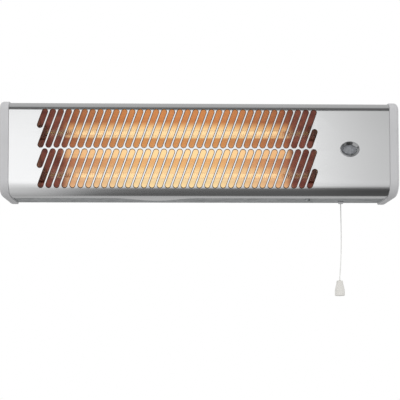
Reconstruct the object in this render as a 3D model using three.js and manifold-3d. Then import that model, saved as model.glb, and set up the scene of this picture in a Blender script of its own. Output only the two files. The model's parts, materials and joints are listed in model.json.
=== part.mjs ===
// A wall-mounted infrared bar heater with two quartz tubes, a slotted steel cover and a pull cord.
// Millimetres, +Z up, +X to the right of someone facing the heater, and the front faces -Y.
// The wall is the plane Y = 0, and Z = 0 is half way up the heater's body.

import * as THREE from "three";
import { mergeVertices } from "three/addons/utils/BufferGeometryUtils.js";
import Module from "manifold-3d";

const wasm = await Module();
wasm.setup();

// ---------------------------------------------------------------- driving dimensions

// The body
const LENGTH = 544; // over the two end caps
const BODY_HEIGHT = 127;
const BODY_DEPTH = 85; // from the cover's front face to the housing's back
const WALL_GAP = 22; // from the wall to the housing's back
const UPPER_BEND = 12; // outside radius of the cover's bend at the top
const LOWER_BEND = 20; // and at the bottom
const SHEET = 0.8; // cover, housing and bulkhead plate
const FIT = 0.3; // gap left between pieces that touch or fit together
const SCREW_CORE = 2.6;
const SCREW_CLEARANCE = 0.8; // on the diameter of a hole that a screw passes through
const THREAD_CLEARANCE = 0.6; // and of one that it is driven into

// The cover
const FLANGE_DEPTH = 32; // how far its top and bottom flanges reach back
const LAP = 12; // how far the flanges cover the housing
const TONGUE_WIDTH = 122; // the curved tongue on the bottom flange
const TONGUE_DEPTH = 24;
const TONGUE_FROM_LEFT = 211;

// The slots
const SLOT_WIDTH = 6.9;
const SLOT_PITCH = 10.74;
const SLOT_LEAN = THREE.MathUtils.degToRad(19.9);
const SLOT_TOP_MARGIN = 10.4; // from the body's top to the upper row
const SLOT_BOTTOM_MARGIN = 9.6;
const ROW_LAND = 2.2; // solid metal between the two rows
const SHORT_SLOT = 25.5; // height of the short slot at each end of a row
const SLOT_END_MARGIN = 14.9; // from a bulkhead to the middle of the first full slot

// The end caps
const CAP_WIDTH = 13; // what shows of a cap from the front
const CAP_PROUD = 1.6; // how far it stands out past the cover
const CAP_ROUND = 6; // radius of its outer edges
const CAP_WALL = 2.6;
const CAP_SEAT = 2; // thickness of the rim that meets the cover's end
const CAP_REAR_RADIUS = 5;
const SPIGOT_LENGTH = 9.2;
const SPIGOT_WALL = 1.8;
const CAP_SCREW_HEIGHT = 45; // above and below the middle

// The heating chamber, between two bulkheads
const LEFT_MARGIN = 49.7; // from the left end to the left bulkhead
const RIGHT_MARGIN = 110.3;
const TUBE_DEPTH = 43; // from the cover's front face to the tubes' axes
const TUBE_MARGIN = 33.5; // from the body's top and underside to the tubes' axes
const TUBE_DIAMETER = 10;
const TUBE_WALL = 1;
const COIL_MARGIN = 33; // from each end of a tube to its heating coil
const COIL_CLEARANCE = 0.8; // between the coil and the tube's bore
const COIL_WIRE = 1.5;
const COIL_TURNS = 18;
const LEAD_CLEARANCE = 0.5; // between a lead's pin and the coil's turns
const CERAMIC_RIM = 4; // how far a ceramic's flange stands out round its tube
const CERAMIC_WALL = 1.5; // and its neck
const CERAMIC_FLANGE = 8;
const CERAMIC_REACH = 10; // how far the neck stands out behind its bulkhead
const TUBE_SOCKET = 9;
const REFLECTOR_SHEET = 0.6;
const REFLECTOR_DEPTH = 60; // from the front face to the bottom of each trough
const REFLECTOR_RIDGE = 42;
const REFLECTOR_LIP = 14;
const REFLECTOR_MARGIN = 6.5; // from the body's top to the reflector's lip
const CUTOUT_DEPTH = 40; // from the front face to the thermal cutout's axis

// The pilot light
const PILOT_FROM_RIGHT = 67.9;
const PILOT_HEIGHT = -0.8;
const PILOT_OUTER = [26.8, 21.2];
const PILOT_WINDOW = [19.5, 12];
const PILOT_SKIRT = [23.4, 17.4];
const LAMP_DIAMETER = 6;

// The pull switch
const SWITCH_FROM_RIGHT = 68.7;
const SWITCH_SIZE = [24, 22];
const SWITCH_STANDOFF = 3; // from the housing's back
const SWITCH_FLOOR = 3.6;
const PLUNGER_DIAMETER = 9.4;
const PLUNGER_HEIGHT = 4;
const PLUNGER_SUNK = 1.5; // below the rim of the switch's bore
const PULL_TRAVEL = 8;
const SPRING_DIAMETER = 7.4;
const SPRING_WIRE = 1;
const SPRING_TURNS = 7;
const SPRING_SPARE = 4.8; // what is left between its turns at the end of a pull
const CORD_DIAMETER = 1.4;
const GLAND_DIAMETER = 8.3;
const GLAND_REACH = 3; // below the housing's underside
const ROTOR_DIAMETER = 18;
const ROTOR_TEETH = 8;
const ROTOR_THICKNESS = 6;
const AXLE_DIAMETER = 4;
const YOKE_HEIGHT = 24;

// The pull cord hangs from the gland. Offsets from the top of the cord: to the right, and down.
const CORD_ROUTE = [
  [0, 0], [0, 3], [0.02, 7], [0.06, 12], [0.14, 18], [0.25, 25], [0.35, 32], [0.41, 40],
  [0.42, 48], [0.36, 56], [0.22, 64], [0, 72], [-0.32, 80], [-0.72, 87], [-1.14, 93.5],
  [-1.52, 99], [-1.82, 103.4], [-2.02, 106.6], [-2.16, 109.1],
];
const KNOB_HEIGHT = 22.8;
const KNOB_TOP = 9;
const KNOB_BOTTOM = 14.2;

// The wall bracket and its pivot
const BRACKET_LENGTH = 220;
const BRACKET_ABOVE_PIVOT = 56;
const BRACKET_BELOW_PIVOT = 10;
const BRACKET_SHEET = 2;
const PIVOT_FROM_BOTTOM = 23.5; // above the body's underside
const PIVOT_FROM_WALL = 12;
const EAR_RADIUS = 8.5;
const LUG_SHEET = 2.5;
const BOLT_DIAMETER = 5;
const KEYHOLE_SPACING = 140;
const KEYHOLE_SLOT = 5;
const KEYHOLE_HEAD = 9;
const KEYHOLE_RISE = 12; // from the middle of its entry to the top of its slot
const KEYHOLE_FROM_TOP = 26; // from the plate's top edge to the middle of the entry

// Wiring
const WIRE_DIAMETER = 2.4;
const WIRE_GAP = 0.5; // from a wire's end to its terminal
const TERMINAL_SIZE = [30, 14, 18];
const TERMINAL_FROM_RIGHT = 71;
const TERMINAL_HEIGHT = 31;
const POLE_PITCH = 10;
const GROMMET_FROM_RIGHT = 36;
const GROMMET_HEIGHT = -36;
const GROMMET_NECK = 12;
const GROMMET_BORE = 8.4;
const CLAMP_HEIGHT = -17;
const CLAMP_WIDTH = 8;
const CLAMP_SHEET = 2;
const CLAMP_BORE = 8; // width of its arch
const CLAMP_SCREW_REACH = 9; // from the arch's middle to each screw

// ---------------------------------------------------------------- places worked out from them

const halfLength = LENGTH / 2;
const halfHeight = BODY_HEIGHT / 2;
const frontY = -(WALL_GAP + BODY_DEPTH);
const backY = -WALL_GAP;
const screwHole = SCREW_CORE + SCREW_CLEARANCE;
const threadHole = SCREW_CORE + THREAD_CLEARANCE;
const depth = (fromFront) => frontY + fromFront;
const housingHalf = halfHeight - SHEET - FIT; // the housing's flanges lie inside the cover's
const innerHalf = housingHalf - SHEET; // clear height inside the housing
const capInner = halfLength - CAP_WIDTH;
const coverEnd = capInner - FIT;
const leftWall = -halfLength + LEFT_MARGIN; // the bulkheads' faces that look into the chamber
const rightWall = halfLength - RIGHT_MARGIN;
const chamberMiddle = (leftWall + rightWall) / 2;
const tubeY = depth(TUBE_DEPTH);
const tubeZ = halfHeight - TUBE_MARGIN;
const tubeBore = TUBE_DIAMETER - 2 * TUBE_WALL;
const coilDiameter = tubeBore - 2 * COIL_CLEARANCE;
const leadDiameter = coilDiameter - 2 * COIL_WIRE - 2 * LEAD_CLEARANCE;
const ceramicSize = TUBE_DIAMETER + 2 * CERAMIC_RIM;
const ceramicNeck = TUBE_DIAMETER + 2 * CERAMIC_WALL;
const tubeHalf = (rightWall - leftWall) / 2 + SHEET / 2;
const coilHalf = tubeHalf - COIL_MARGIN;
const innerBackY = backY - SHEET; // the inner face of the housing's back
const pilotX = halfLength - PILOT_FROM_RIGHT;
const switchX = halfLength - SWITCH_FROM_RIGHT;
const switchY = innerBackY - SWITCH_STANDOFF - SWITCH_SIZE[1] / 2;
const switchBottom = -innerHalf + FIT;
const switchFloorTop = switchBottom + SWITCH_FLOOR;
const springLength = (SPRING_TURNS + 1) * SPRING_WIRE + SPRING_SPARE + PULL_TRAVEL;
const plungerBottom = switchFloorTop + springLength + 2 * FIT;
const plungerTop = plungerBottom + PLUNGER_HEIGHT;
const switchTop = plungerTop + PLUNGER_SUNK;
const glandBottom = -housingHalf - GLAND_REACH;
const terminalX = halfLength - TERMINAL_FROM_RIGHT;
const grommetX = halfLength - GROMMET_FROM_RIGHT;
const pivotY = -PIVOT_FROM_WALL;
const pivotZ = -halfHeight + PIVOT_FROM_BOTTOM;
const bracketTop = pivotZ + BRACKET_ABOVE_PIVOT;
const bracketBottom = pivotZ - BRACKET_BELOW_PIVOT;
const bracketHalf = BRACKET_LENGTH / 2;
const lugOuter = bracketHalf - BRACKET_SHEET - FIT;
const capScrewX = capInner - SPIGOT_LENGTH / 2;
const cutoutY = depth(CUTOUT_DEPTH);

// ---------------------------------------------------------------- solids from three.js geometry

// A closed geometry as a solid, with its faces turned out whichever way round it was drawn.
function solid(geometry) {
  const loose = geometry.index ? geometry.toNonIndexed() : geometry;
  const bare = new THREE.BufferGeometry().setAttribute("position", loose.getAttribute("position"));
  const merged = mergeVertices(bare, 1e-4);
  const triangles = [];
  for (let i = 0; i < merged.index.count; i += 3) {
    const [a, b, c] = [0, 1, 2].map((k) => merged.index.getX(i + k));
    if (a !== b && b !== c && c !== a) triangles.push([a, b, c]);
  }
  const made = (faces) =>
    new wasm.Manifold(
      new wasm.Mesh({
        numProp: 3,
        vertProperties: merged.attributes.position.array,
        triVerts: new Uint32Array(faces.flat()),
      }),
    );
  const first = made(triangles);
  return first.volume() > 0 ? first : made(triangles.map(([a, b, c]) => [a, c, b]));
}

// A solid as the geometry of a mesh.
function geometryOf(shape) {
  const mesh = shape.getMesh();
  const geometry = new THREE.BufferGeometry();
  geometry.setAttribute("position", new THREE.BufferAttribute(mesh.vertProperties, 3));
  geometry.setIndex(new THREE.BufferAttribute(mesh.triVerts, 1));
  geometry.computeVertexNormals();
  return geometry;
}

const join = (shapes) => shapes.reduce((whole, shape) => whole.add(shape));
const cut = (shape, cutters) => cutters.reduce((rest, cutter) => rest.subtract(cutter), shape);

function box(x0, x1, y0, y1, z0, z1) {
  const geometry = new THREE.BoxGeometry(x1 - x0, y1 - y0, z1 - z0);
  geometry.translate((x0 + x1) / 2, (y0 + y1) / 2, (z0 + z1) / 2);
  return solid(geometry);
}

const AXES = {
  x: new THREE.Vector3(1, 0, 0),
  y: new THREE.Vector3(0, 1, 0),
  z: new THREE.Vector3(0, 0, 1),
};

// A profile of [radius, distance along the axis] turned about an axis through a point.
function turned(profile, axis, at, sides = 24) {
  const points = profile.map(([radius, along]) => new THREE.Vector2(radius, along));
  const geometry = new THREE.LatheGeometry(points, sides);
  const turn = new THREE.Quaternion().setFromUnitVectors(AXES.y, AXES[axis]);
  geometry.applyQuaternion(turn);
  geometry.translate(...at);
  return solid(geometry);
}

// A round bar along an axis, from one place on it to another.
function rod(axis, from, to, at, diameter, sides = 16) {
  const r = diameter / 2;
  return turned([[0, from], [r, from], [r, to], [0, to]], axis, at, sides);
}

// Points along an arc, from one angle to another.
function arc(x, y, radius, from, to, steps) {
  return Array.from({ length: steps + 1 }, (_, i) => {
    const angle = THREE.MathUtils.degToRad(from + ((to - from) * i) / steps);
    return [x + radius * Math.cos(angle), y + radius * Math.sin(angle)];
  });
}

// An outline pushed along an axis: (y, z) along x, (x, z) along y, or (x, y) along z.
const FRAMES = {
  x: new THREE.Matrix4().makeBasis(AXES.y, AXES.z, AXES.x),
  y: new THREE.Matrix4().makeBasis(AXES.x, AXES.z, new THREE.Vector3(0, -1, 0)),
  z: new THREE.Matrix4().identity(),
};
function pushed(outline, axis, from, to) {
  const shape = new THREE.Shape(outline.map(([a, b]) => new THREE.Vector2(a, b)));
  const geometry = new THREE.ExtrudeGeometry(shape, { depth: to - from, bevelEnabled: false });
  geometry.translate(0, 0, axis === "y" ? -to : from);
  geometry.applyMatrix4(FRAMES[axis]);
  return solid(geometry);
}

// The outline, in y and z, of a box with rounded edges along x.
function roundedSection(y0, y1, half, upperRadius, lowerRadius, rearRadius) {
  const upper = Math.max(upperRadius, 0.4);
  const lower = Math.max(lowerRadius, 0.4);
  const r = Math.max(rearRadius, 0.4);
  return [
    ...arc(y0 + lower, -half + lower, lower, 270, 180, 5),
    ...arc(y0 + upper, half - upper, upper, 180, 90, 5),
    ...arc(y1 - r, half - r, r, 90, 0, 3),
    ...arc(y1 - r, -half + r, r, 0, -90, 3),
  ];
}

// A solid through a row of outlines with as many points each, closed by a fan at both ends.
function lofted(rings) {
  const count = rings[0].length;
  const positions = rings.flat(2);
  const triangles = [];
  for (let k = 0; k + 1 < rings.length; k++) {
    for (let i = 0; i < count; i++) {
      const j = (i + 1) % count;
      const [a, b, c, d] = [k * count + i, k * count + j, (k + 1) * count + j, (k + 1) * count + i];
      triangles.push(a, b, c, a, c, d);
    }
  }
  const last = (rings.length - 1) * count;
  for (let i = 1; i + 1 < count; i++) {
    triangles.push(0, i + 1, i, last, last + i, last + i + 1);
  }
  const geometry = new THREE.BufferGeometry();
  geometry.setAttribute("position", new THREE.Float32BufferAttribute(positions, 3));
  geometry.setIndex(triangles);
  return solid(geometry);
}

// A closed band through rings that come back to the first, such as an oval bezel.
function banded(rings) {
  const count = rings[0].length;
  const triangles = [];
  for (let k = 0; k < rings.length; k++) {
    const next = (k + 1) % rings.length;
    for (let i = 0; i < count; i++) {
      const j = (i + 1) % count;
      const [a, b, c, d] = [k * count + i, k * count + j, next * count + j, next * count + i];
      triangles.push(a, b, c, a, c, d);
    }
  }
  const geometry = new THREE.BufferGeometry();
  geometry.setAttribute("position", new THREE.Float32BufferAttribute(rings.flat(2), 3));
  geometry.setIndex(triangles);
  return solid(geometry);
}

// A ring of points round an oval in the x-z plane.
function oval(x, y, z, width, height, count = 24) {
  return Array.from({ length: count }, (_, i) => {
    const angle = (i / count) * Math.PI * 2;
    return [x + (width / 2) * Math.cos(angle), y, z + (height / 2) * Math.sin(angle)];
  });
}

// A round wire along a smooth path.
function wire(points, diameter, steps, sides) {
  const path = new THREE.CatmullRomCurve3(points.map((p) => new THREE.Vector3(...p)), false, "centripetal");
  const section = new THREE.Shape(
    Array.from({ length: sides }, (_, i) => {
      const angle = (i / sides) * Math.PI * 2;
      return new THREE.Vector2((diameter / 2) * Math.cos(angle), (diameter / 2) * Math.sin(angle));
    }),
  );
  return solid(new THREE.ExtrudeGeometry(section, { steps, bevelEnabled: false, extrudePath: path }));
}

// A wire wound on a straight axis, with 8 steps of a 5-sided section to each turn.
// It prints its own least gap: between turns, and across the winding.
function winding(name, axis, from, to, at, diameter, thickness, turns) {
  const STEPS_PER_TURN = 8;
  const SIDES = 5;
  const radius = (diameter - thickness) / 2;
  const steps = turns * STEPS_PER_TURN;
  const length = to - from - thickness;
  const rings = [];
  const centres = [];
  for (let i = 0; i <= steps; i++) {
    const angle = (i / STEPS_PER_TURN) * Math.PI * 2;
    const out = new THREE.Vector3(Math.cos(angle), 0, Math.sin(angle));
    const centre = out.clone().multiplyScalar(radius);
    centre.y = from + thickness / 2 + (length * i) / steps;
    centres.push(centre);
    rings.push(
      Array.from({ length: SIDES }, (_, k) => {
        const around = (k / SIDES) * Math.PI * 2;
        const point = centre.clone().addScaledVector(out, (thickness / 2) * Math.cos(around));
        point.y += (thickness / 2) * Math.sin(around);
        return point;
      }),
    );
  }
  let least = Infinity;
  for (let i = 0; i < centres.length; i++) {
    for (let j = i + STEPS_PER_TURN / 2; j < Math.min(i + 2 * STEPS_PER_TURN, centres.length); j++) {
      least = Math.min(least, centres[i].distanceTo(centres[j]) - thickness);
    }
  }
  console.log(`${name}: least gap to itself ${least.toFixed(2)} mm`);
  const turn = new THREE.Quaternion().setFromUnitVectors(AXES.y, AXES[axis]);
  const place = (point) => point.applyQuaternion(turn).add(new THREE.Vector3(...at)).toArray();
  return lofted(rings.map((ring) => ring.map(place)));
}

// ---------------------------------------------------------------- finishes

const finish = (color, roughness, metalness) => ({ color, roughness, metalness });
const POLISHED_STEEL = finish(0xc9cbcd, 0.22, 1);
const ZINC_STEEL = finish(0xa8adb0, 0.45, 1);
const BRIGHT_ALUMINIUM = finish(0xdfe0e0, 0.12, 1);
const CHROME = finish(0xd8dadc, 0.08, 1);
const GREY_PLASTIC = finish(0xc3c3c5, 0.5, 0);
const WHITE_PLASTIC = finish(0xe9e8e3, 0.45, 0);
const BLACK_PLASTIC = finish(0x26272a, 0.5, 0);
const QUARTZ = finish(0xf6e9dc, 0.1, 0);
const HOT_WIRE = finish(0xff8a2a, 0.6, 0.4);
const CERAMIC = finish(0xe6ddcb, 0.8, 0);
const BRASS = finish(0xc9a458, 0.35, 1);
const LENS = finish(0x9aa0a2, 0.15, 0);
const RUBBER = finish(0x1f2022, 0.8, 0);
const WHITE_CORD = finish(0xf2f2ef, 0.9, 0);
const BROWN_SLEEVE = finish(0x6d4326, 0.7, 0);
const BLUE_SLEEVE = finish(0x2f5d9b, 0.7, 0);
const WHITE_SLEEVE = finish(0xe8e6df, 0.8, 0);

const heater = new THREE.Group();
const wallSide = new THREE.Group();
const body = new THREE.Group();
const pull = new THREE.Group();
const hanging = new THREE.Group();
heater.add(wallSide, body);
body.add(pull);
pull.add(hanging);

// One named piece of the heater, in the group that it moves with.
function piece(group, name, shape, look, position = [0, 0, 0]) {
  const mesh = new THREE.Mesh(geometryOf(shape), new THREE.MeshStandardMaterial(look));
  mesh.name = name;
  mesh.position.set(...position);
  group.add(mesh);
}

const SIDES_OF_BODY = [["left", -1], ["right", 1]];
const LEVELS = [["upper", 1], ["lower", -1]];

// The same solid on the other side of the plane X = 0.
function mirrored(shape) {
  return solid(geometryOf(shape).scale(-1, 1, 1));
}

// ---------------------------------------------------------------- front cover

function slotOutline(top, bottom) {
  const lean = THREE.MathUtils.radToDeg(Math.atan2(top[1] - bottom[1], top[0] - bottom[0]));
  const r = SLOT_WIDTH / 2;
  return [
    ...arc(...top, r, lean - 90, lean + 90, 3),
    ...arc(...bottom, r, lean + 90, lean + 270, 3),
  ];
}

// Two rows of leaning slots. Each line of slots has one in each row, and the two lines past the
// ends have a short slot: at the row's top on the left, and at its bottom on the right.
function slotCutters() {
  const r = SLOT_WIDTH / 2;
  const rowTop = halfHeight - SLOT_TOP_MARGIN;
  const rowBottom = -halfHeight + SLOT_BOTTOM_MARGIN;
  const rowHeight = (rowTop - rowBottom - ROW_LAND) / 2;
  const span = rightWall - leftWall - 2 * SLOT_END_MARGIN;
  const gaps = Math.round(span / SLOT_PITCH);
  const firstMiddle = chamberMiddle - (gaps * SLOT_PITCH) / 2;
  const cutters = [];
  for (const top of [rowTop, rowBottom + rowHeight]) {
    const middle = top - rowHeight / 2;
    const bottom = top - rowHeight;
    for (let line = -1; line <= gaps + 1; line++) {
      const high = line > gaps ? bottom + SHORT_SLOT - r : top - r;
      const low = line < 0 ? top - SHORT_SLOT + r : bottom + r;
      const at = (z) => [firstMiddle + line * SLOT_PITCH + (z - middle) * Math.tan(SLOT_LEAN), z];
      const outline = slotOutline(at(high), at(low));
      cutters.push(pushed(outline, "y", frontY - 1, depth(UPPER_BEND)));
    }
  }
  return cutters;
}

// A plate bent round the front: flat face, two bends, and a flange at the top and bottom.
function coverSection() {
  const upper = [depth(UPPER_BEND), halfHeight - UPPER_BEND];
  const lower = [depth(LOWER_BEND), -halfHeight + LOWER_BEND];
  const rear = depth(FLANGE_DEPTH);
  return [
    [rear, -halfHeight],
    ...arc(...lower, LOWER_BEND, 270, 180, 5),
    ...arc(...upper, UPPER_BEND, 180, 90, 6),
    [rear, halfHeight],
    [rear, halfHeight - SHEET],
    ...arc(...upper, UPPER_BEND - SHEET, 90, 180, 6),
    ...arc(...lower, LOWER_BEND - SHEET, 180, 270, 5),
    [rear, -halfHeight + SHEET],
  ];
}

// The bottom flange's rear edge swells into a wide tongue over the housing's underside.
function coverTongue() {
  const STEPS = 16;
  const middle = -halfLength + TONGUE_FROM_LEFT;
  const rear = depth(FLANGE_DEPTH);
  const edge = Array.from({ length: STEPS + 1 }, (_, i) => {
    const across = i / STEPS;
    const swell = (1 - Math.cos(across * Math.PI * 2)) / 2;
    return [middle + (across - 0.5) * TONGUE_WIDTH, rear - 0.01 + TONGUE_DEPTH * swell];
  });
  const root = [[middle + TONGUE_WIDTH / 2, rear - 2], [middle - TONGUE_WIDTH / 2, rear - 2]];
  return pushed([...edge, ...root], "z", -halfHeight, -halfHeight + SHEET);
}

const coverScrewX = [leftWall + 20, rightWall - 20];
const coverScrewY = depth(FLANGE_DEPTH - LAP / 2);

function frontCover() {
  const sheet = pushed(coverSection(), "x", -coverEnd, coverEnd).add(coverTongue());
  const pilotHole = lofted([
    oval(pilotX, frontY - 1, PILOT_HEIGHT, PILOT_SKIRT[0] + 2 * FIT, PILOT_SKIRT[1] + 2 * FIT),
    oval(pilotX, depth(2), PILOT_HEIGHT, PILOT_SKIRT[0] + 2 * FIT, PILOT_SKIRT[1] + 2 * FIT),
  ]);
  const screwHoles = coverScrewX.map((x) =>
    rod("z", halfHeight - 2, halfHeight + 1, [x, coverScrewY, 0], screwHole, 12),
  );
  return cut(sheet, [join(slotCutters()), pilotHole, ...screwHoles]);
}

piece(body, "front_cover", frontCover(), POLISHED_STEEL);

// ---------------------------------------------------------------- rear housing

const VENT = { width: 36, height: 3.5, pitch: 52, rows: [38, 46], margin: 8 };

function housingSection() {
  const y0 = depth(FLANGE_DEPTH - LAP);
  const radius = 3;
  const z = housingHalf - radius;
  const y = backY - radius;
  return [
    [y0, -housingHalf],
    ...arc(y, -z, radius, -90, 0, 4),
    ...arc(y, z, radius, 0, 90, 4),
    [y0, housingHalf],
    [y0, innerHalf],
    ...arc(y, z, radius - SHEET, 90, 0, 4),
    ...arc(y, -z, radius - SHEET, 0, -90, 4),
    [y0, -innerHalf],
  ];
}

// A hole through the housing's back, and one through its top or bottom flange.
const backHole = (x, z, diameter) => rod("y", backY - 2, backY + 1, [x, 0, z], diameter, 16);
const floorHole = (x, y, diameter) => rod("z", -housingHalf - 1, -innerHalf + 1, [x, y, 0], diameter, 16);
const roofHole = (x, y) => rod("z", innerHalf - 1, housingHalf + 1, [x, y, 0], screwHole, 12);

const BULKHEAD_FOOT = { reach: 18, width: 20, rightWidth: 14, rightDepth: 50, screwInset: 9 };
const footScrewX = rightWall - BULKHEAD_FOOT.screwInset + FIT; // the right foot is held from below
const footScrewY = depth(BULKHEAD_FOOT.rightDepth);
const leftFootX = leftWall - SHEET - BULKHEAD_FOOT.screwInset; // the left one from behind
const earthX = rightWall + 16;
const earthZ = 12;
const clampScrewX = [grommetX - CLAMP_SCREW_REACH, grommetX + CLAMP_SCREW_REACH];

function ventCutters() {
  const count = Math.floor((rightWall - leftWall - 2 * VENT.margin) / VENT.pitch);
  const reach = (VENT.width - VENT.height) / 2;
  const cutters = [];
  for (const z of VENT.rows) {
    for (let i = 0; i < count; i++) {
      const x = chamberMiddle + (i - (count - 1) / 2) * VENT.pitch;
      const outline = [
        ...arc(x - reach, z, VENT.height / 2, 90, 270, 2),
        ...arc(x + reach, z, VENT.height / 2, -90, 90, 2),
      ];
      cutters.push(pushed(outline, "y", backY - 2, backY + 1));
    }
  }
  return cutters;
}

function rearHousing() {
  const sheet = pushed(housingSection(), "x", -coverEnd, coverEnd);
  const capHoles = SIDES_OF_BODY.flatMap(([, side]) =>
    [-1, 1].map((level) => backHole(side * capScrewX, level * CAP_SCREW_HEIGHT, screwHole)),
  );
  return cut(sheet, [
    ...capHoles,
    ...coverScrewX.map((x) => roofHole(x, coverScrewY)),
    floorHole(footScrewX, footScrewY, screwHole),
    floorHole(switchX, switchY, GLAND_DIAMETER - 1.4),
    backHole(leftFootX, 0, screwHole),
    backHole(terminalX, TERMINAL_HEIGHT, screwHole),
    backHole(earthX, earthZ, screwHole),
    backHole(grommetX, GROMMET_HEIGHT, GROMMET_NECK + 2 * FIT),
    ...clampScrewX.map((x) => backHole(x, CLAMP_HEIGHT, screwHole)),
    join(ventCutters()),
  ]);
}

piece(body, "rear_housing", rearHousing(), ZINC_STEEL);

// ---------------------------------------------------------------- end caps

function capSection(grow) {
  return roundedSection(
    frontY - grow,
    backY + grow,
    halfHeight + grow,
    UPPER_BEND + grow,
    LOWER_BEND + grow,
    CAP_REAR_RADIUS + grow,
  );
}

// The inside of the body at the caps, where a cap's spigot and a bulkhead fit.
function insideSection(shrink, frontShrink = shrink) {
  const bendInset = 2 * (SHEET + FIT) + shrink;
  return roundedSection(
    frontY + SHEET + FIT + frontShrink,
    innerBackY - FIT - shrink,
    innerHalf - FIT - shrink,
    UPPER_BEND - bendInset,
    LOWER_BEND - bendInset,
    3 - SHEET - FIT - shrink,
  );
}

const BOSS = { diameter: 7, length: 10, core: 8, setback: 0.5 };

// The left cap: a hollow moulding with rounded outer edges, a rim that meets the cover's end,
// and a spigot that fits inside the body, with a boss for each screw.
function leftEndCap() {
  const outerX = -halfLength;
  const seam = -capInner;
  const rings = [];
  const STEPS = 4;
  for (let i = 0; i <= STEPS; i++) {
    const angle = (i / STEPS) * (Math.PI / 2);
    const x = outerX + CAP_ROUND * (1 - Math.cos(angle));
    const inset = CAP_ROUND * (1 - Math.sin(angle));
    rings.push(capSection(CAP_PROUD - inset).map(([y, z]) => [x, y, z]));
  }
  rings.push(capSection(CAP_PROUD).map(([y, z]) => [seam, y, z]));
  const shell = lofted(rings);
  const spigotEnd = seam + SPIGOT_LENGTH;
  const spigot = pushed(insideSection(0), "x", seam - 0.5, spigotEnd);
  const hollow = pushed(capSection(CAP_PROUD - CAP_WALL), "x", outerX + CAP_WALL, seam - CAP_SEAT);
  const mouth = pushed(insideSection(SPIGOT_WALL), "x", seam - CAP_SEAT - 0.1, spigotEnd + 1);
  const rear = innerBackY - FIT - BOSS.setback;
  const bosses = [-1, 1].map((level) =>
    rod("y", rear - BOSS.length, rear, [-capScrewX, 0, level * CAP_SCREW_HEIGHT], BOSS.diameter, 16),
  );
  const cores = [-1, 1].map((level) =>
    rod("y", rear - BOSS.core, backY, [-capScrewX, 0, level * CAP_SCREW_HEIGHT], threadHole, 12),
  );
  return cut(join([cut(shell.add(spigot), [hollow, mouth]), ...bosses]), cores);
}

const leftCap = leftEndCap();
piece(body, "left_end_cap", leftCap, GREY_PLASTIC);
piece(body, "right_end_cap", mirrored(leftCap), GREY_PLASTIC);

// ---------------------------------------------------------------- screws

// The profile of a pan-head screw whose head's seat is at the origin.
function screw(headDiameter, headHeight, length, core = SCREW_CORE) {
  const r = headDiameter / 2;
  return [
    [0, -length],
    [core / 2, -length],
    [core / 2, 0],
    [r, 0],
    [r, headHeight * 0.5],
    [r * 0.65, headHeight],
    [0, headHeight],
  ];
}
const rearScrew = (length) => turned(screw(6, 2, length), "y", [0, 0, 0], 12);
const rearSeat = backY + FIT;

for (const [name, side] of SIDES_OF_BODY) {
  for (const [level, up] of LEVELS) {
    const at = [side * capScrewX, rearSeat, up * CAP_SCREW_HEIGHT];
    piece(body, `cap_screw_${name}_${level}`, rearScrew(8), ZINC_STEEL, at);
  }
}
SIDES_OF_BODY.forEach(([name], i) => {
  const shape = turned(screw(6, 2, 5), "z", [0, 0, 0], 12);
  piece(body, `cover_screw_${name}`, shape, POLISHED_STEEL, [coverScrewX[i], coverScrewY, halfHeight + FIT]);
});
piece(
  body,
  "bulkhead_screw_right",
  solid(geometryOf(turned(screw(7, 1.9, 5), "z", [0, 0, 0], 12)).scale(1, 1, -1)),
  ZINC_STEEL,
  [footScrewX, footScrewY, -housingHalf - FIT],
);
piece(body, "bulkhead_screw_left", rearScrew(5), ZINC_STEEL, [leftFootX, rearSeat, 0]);

// ---------------------------------------------------------------- bulkheads and reflector

const tubeWindows = (x) =>
  LEVELS.map(([, up]) => {
    const half = ceramicNeck / 2 + FIT;
    const z = up * tubeZ;
    return box(x - 2, x + 2, tubeY - half, tubeY + half, z - half, z + half);
  });

// An upright plate across the body. The left one has a foot against the housing's back, and the
// right one has a foot on the housing's floor.
function leftBulkhead() {
  const plate = pushed(insideSection(0, 2), "x", leftWall - SHEET, leftWall);
  const rear = innerBackY - FIT;
  const { reach, width } = BULKHEAD_FOOT;
  const foot = box(leftWall - reach, leftWall - 0.1, rear - SHEET, rear, -width / 2, width / 2);
  const hole = rod("y", rear - 3, rear + 1, [leftFootX, 0, 0], threadHole, 12);
  return cut(plate.add(foot), [hole, ...tubeWindows(leftWall - SHEET / 2)]);
}

function rightBulkhead() {
  const plate = pushed(insideSection(0, 2), "x", rightWall, rightWall + SHEET);
  const floor = -innerHalf + FIT;
  const { reach, rightWidth: width } = BULKHEAD_FOOT;
  const foot = box(
    rightWall - reach, rightWall + 0.1,
    footScrewY - width / 2, footScrewY + width / 2,
    floor, floor + SHEET,
  );
  const hole = rod("z", floor - 1, floor + 3, [footScrewX, footScrewY, 0], threadHole, 12);
  return cut(plate.add(foot), [hole, ...tubeWindows(rightWall + SHEET / 2)]);
}

piece(body, "left_bulkhead", leftBulkhead(), ZINC_STEEL);
piece(body, "right_bulkhead", rightBulkhead(), ZINC_STEEL);

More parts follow.
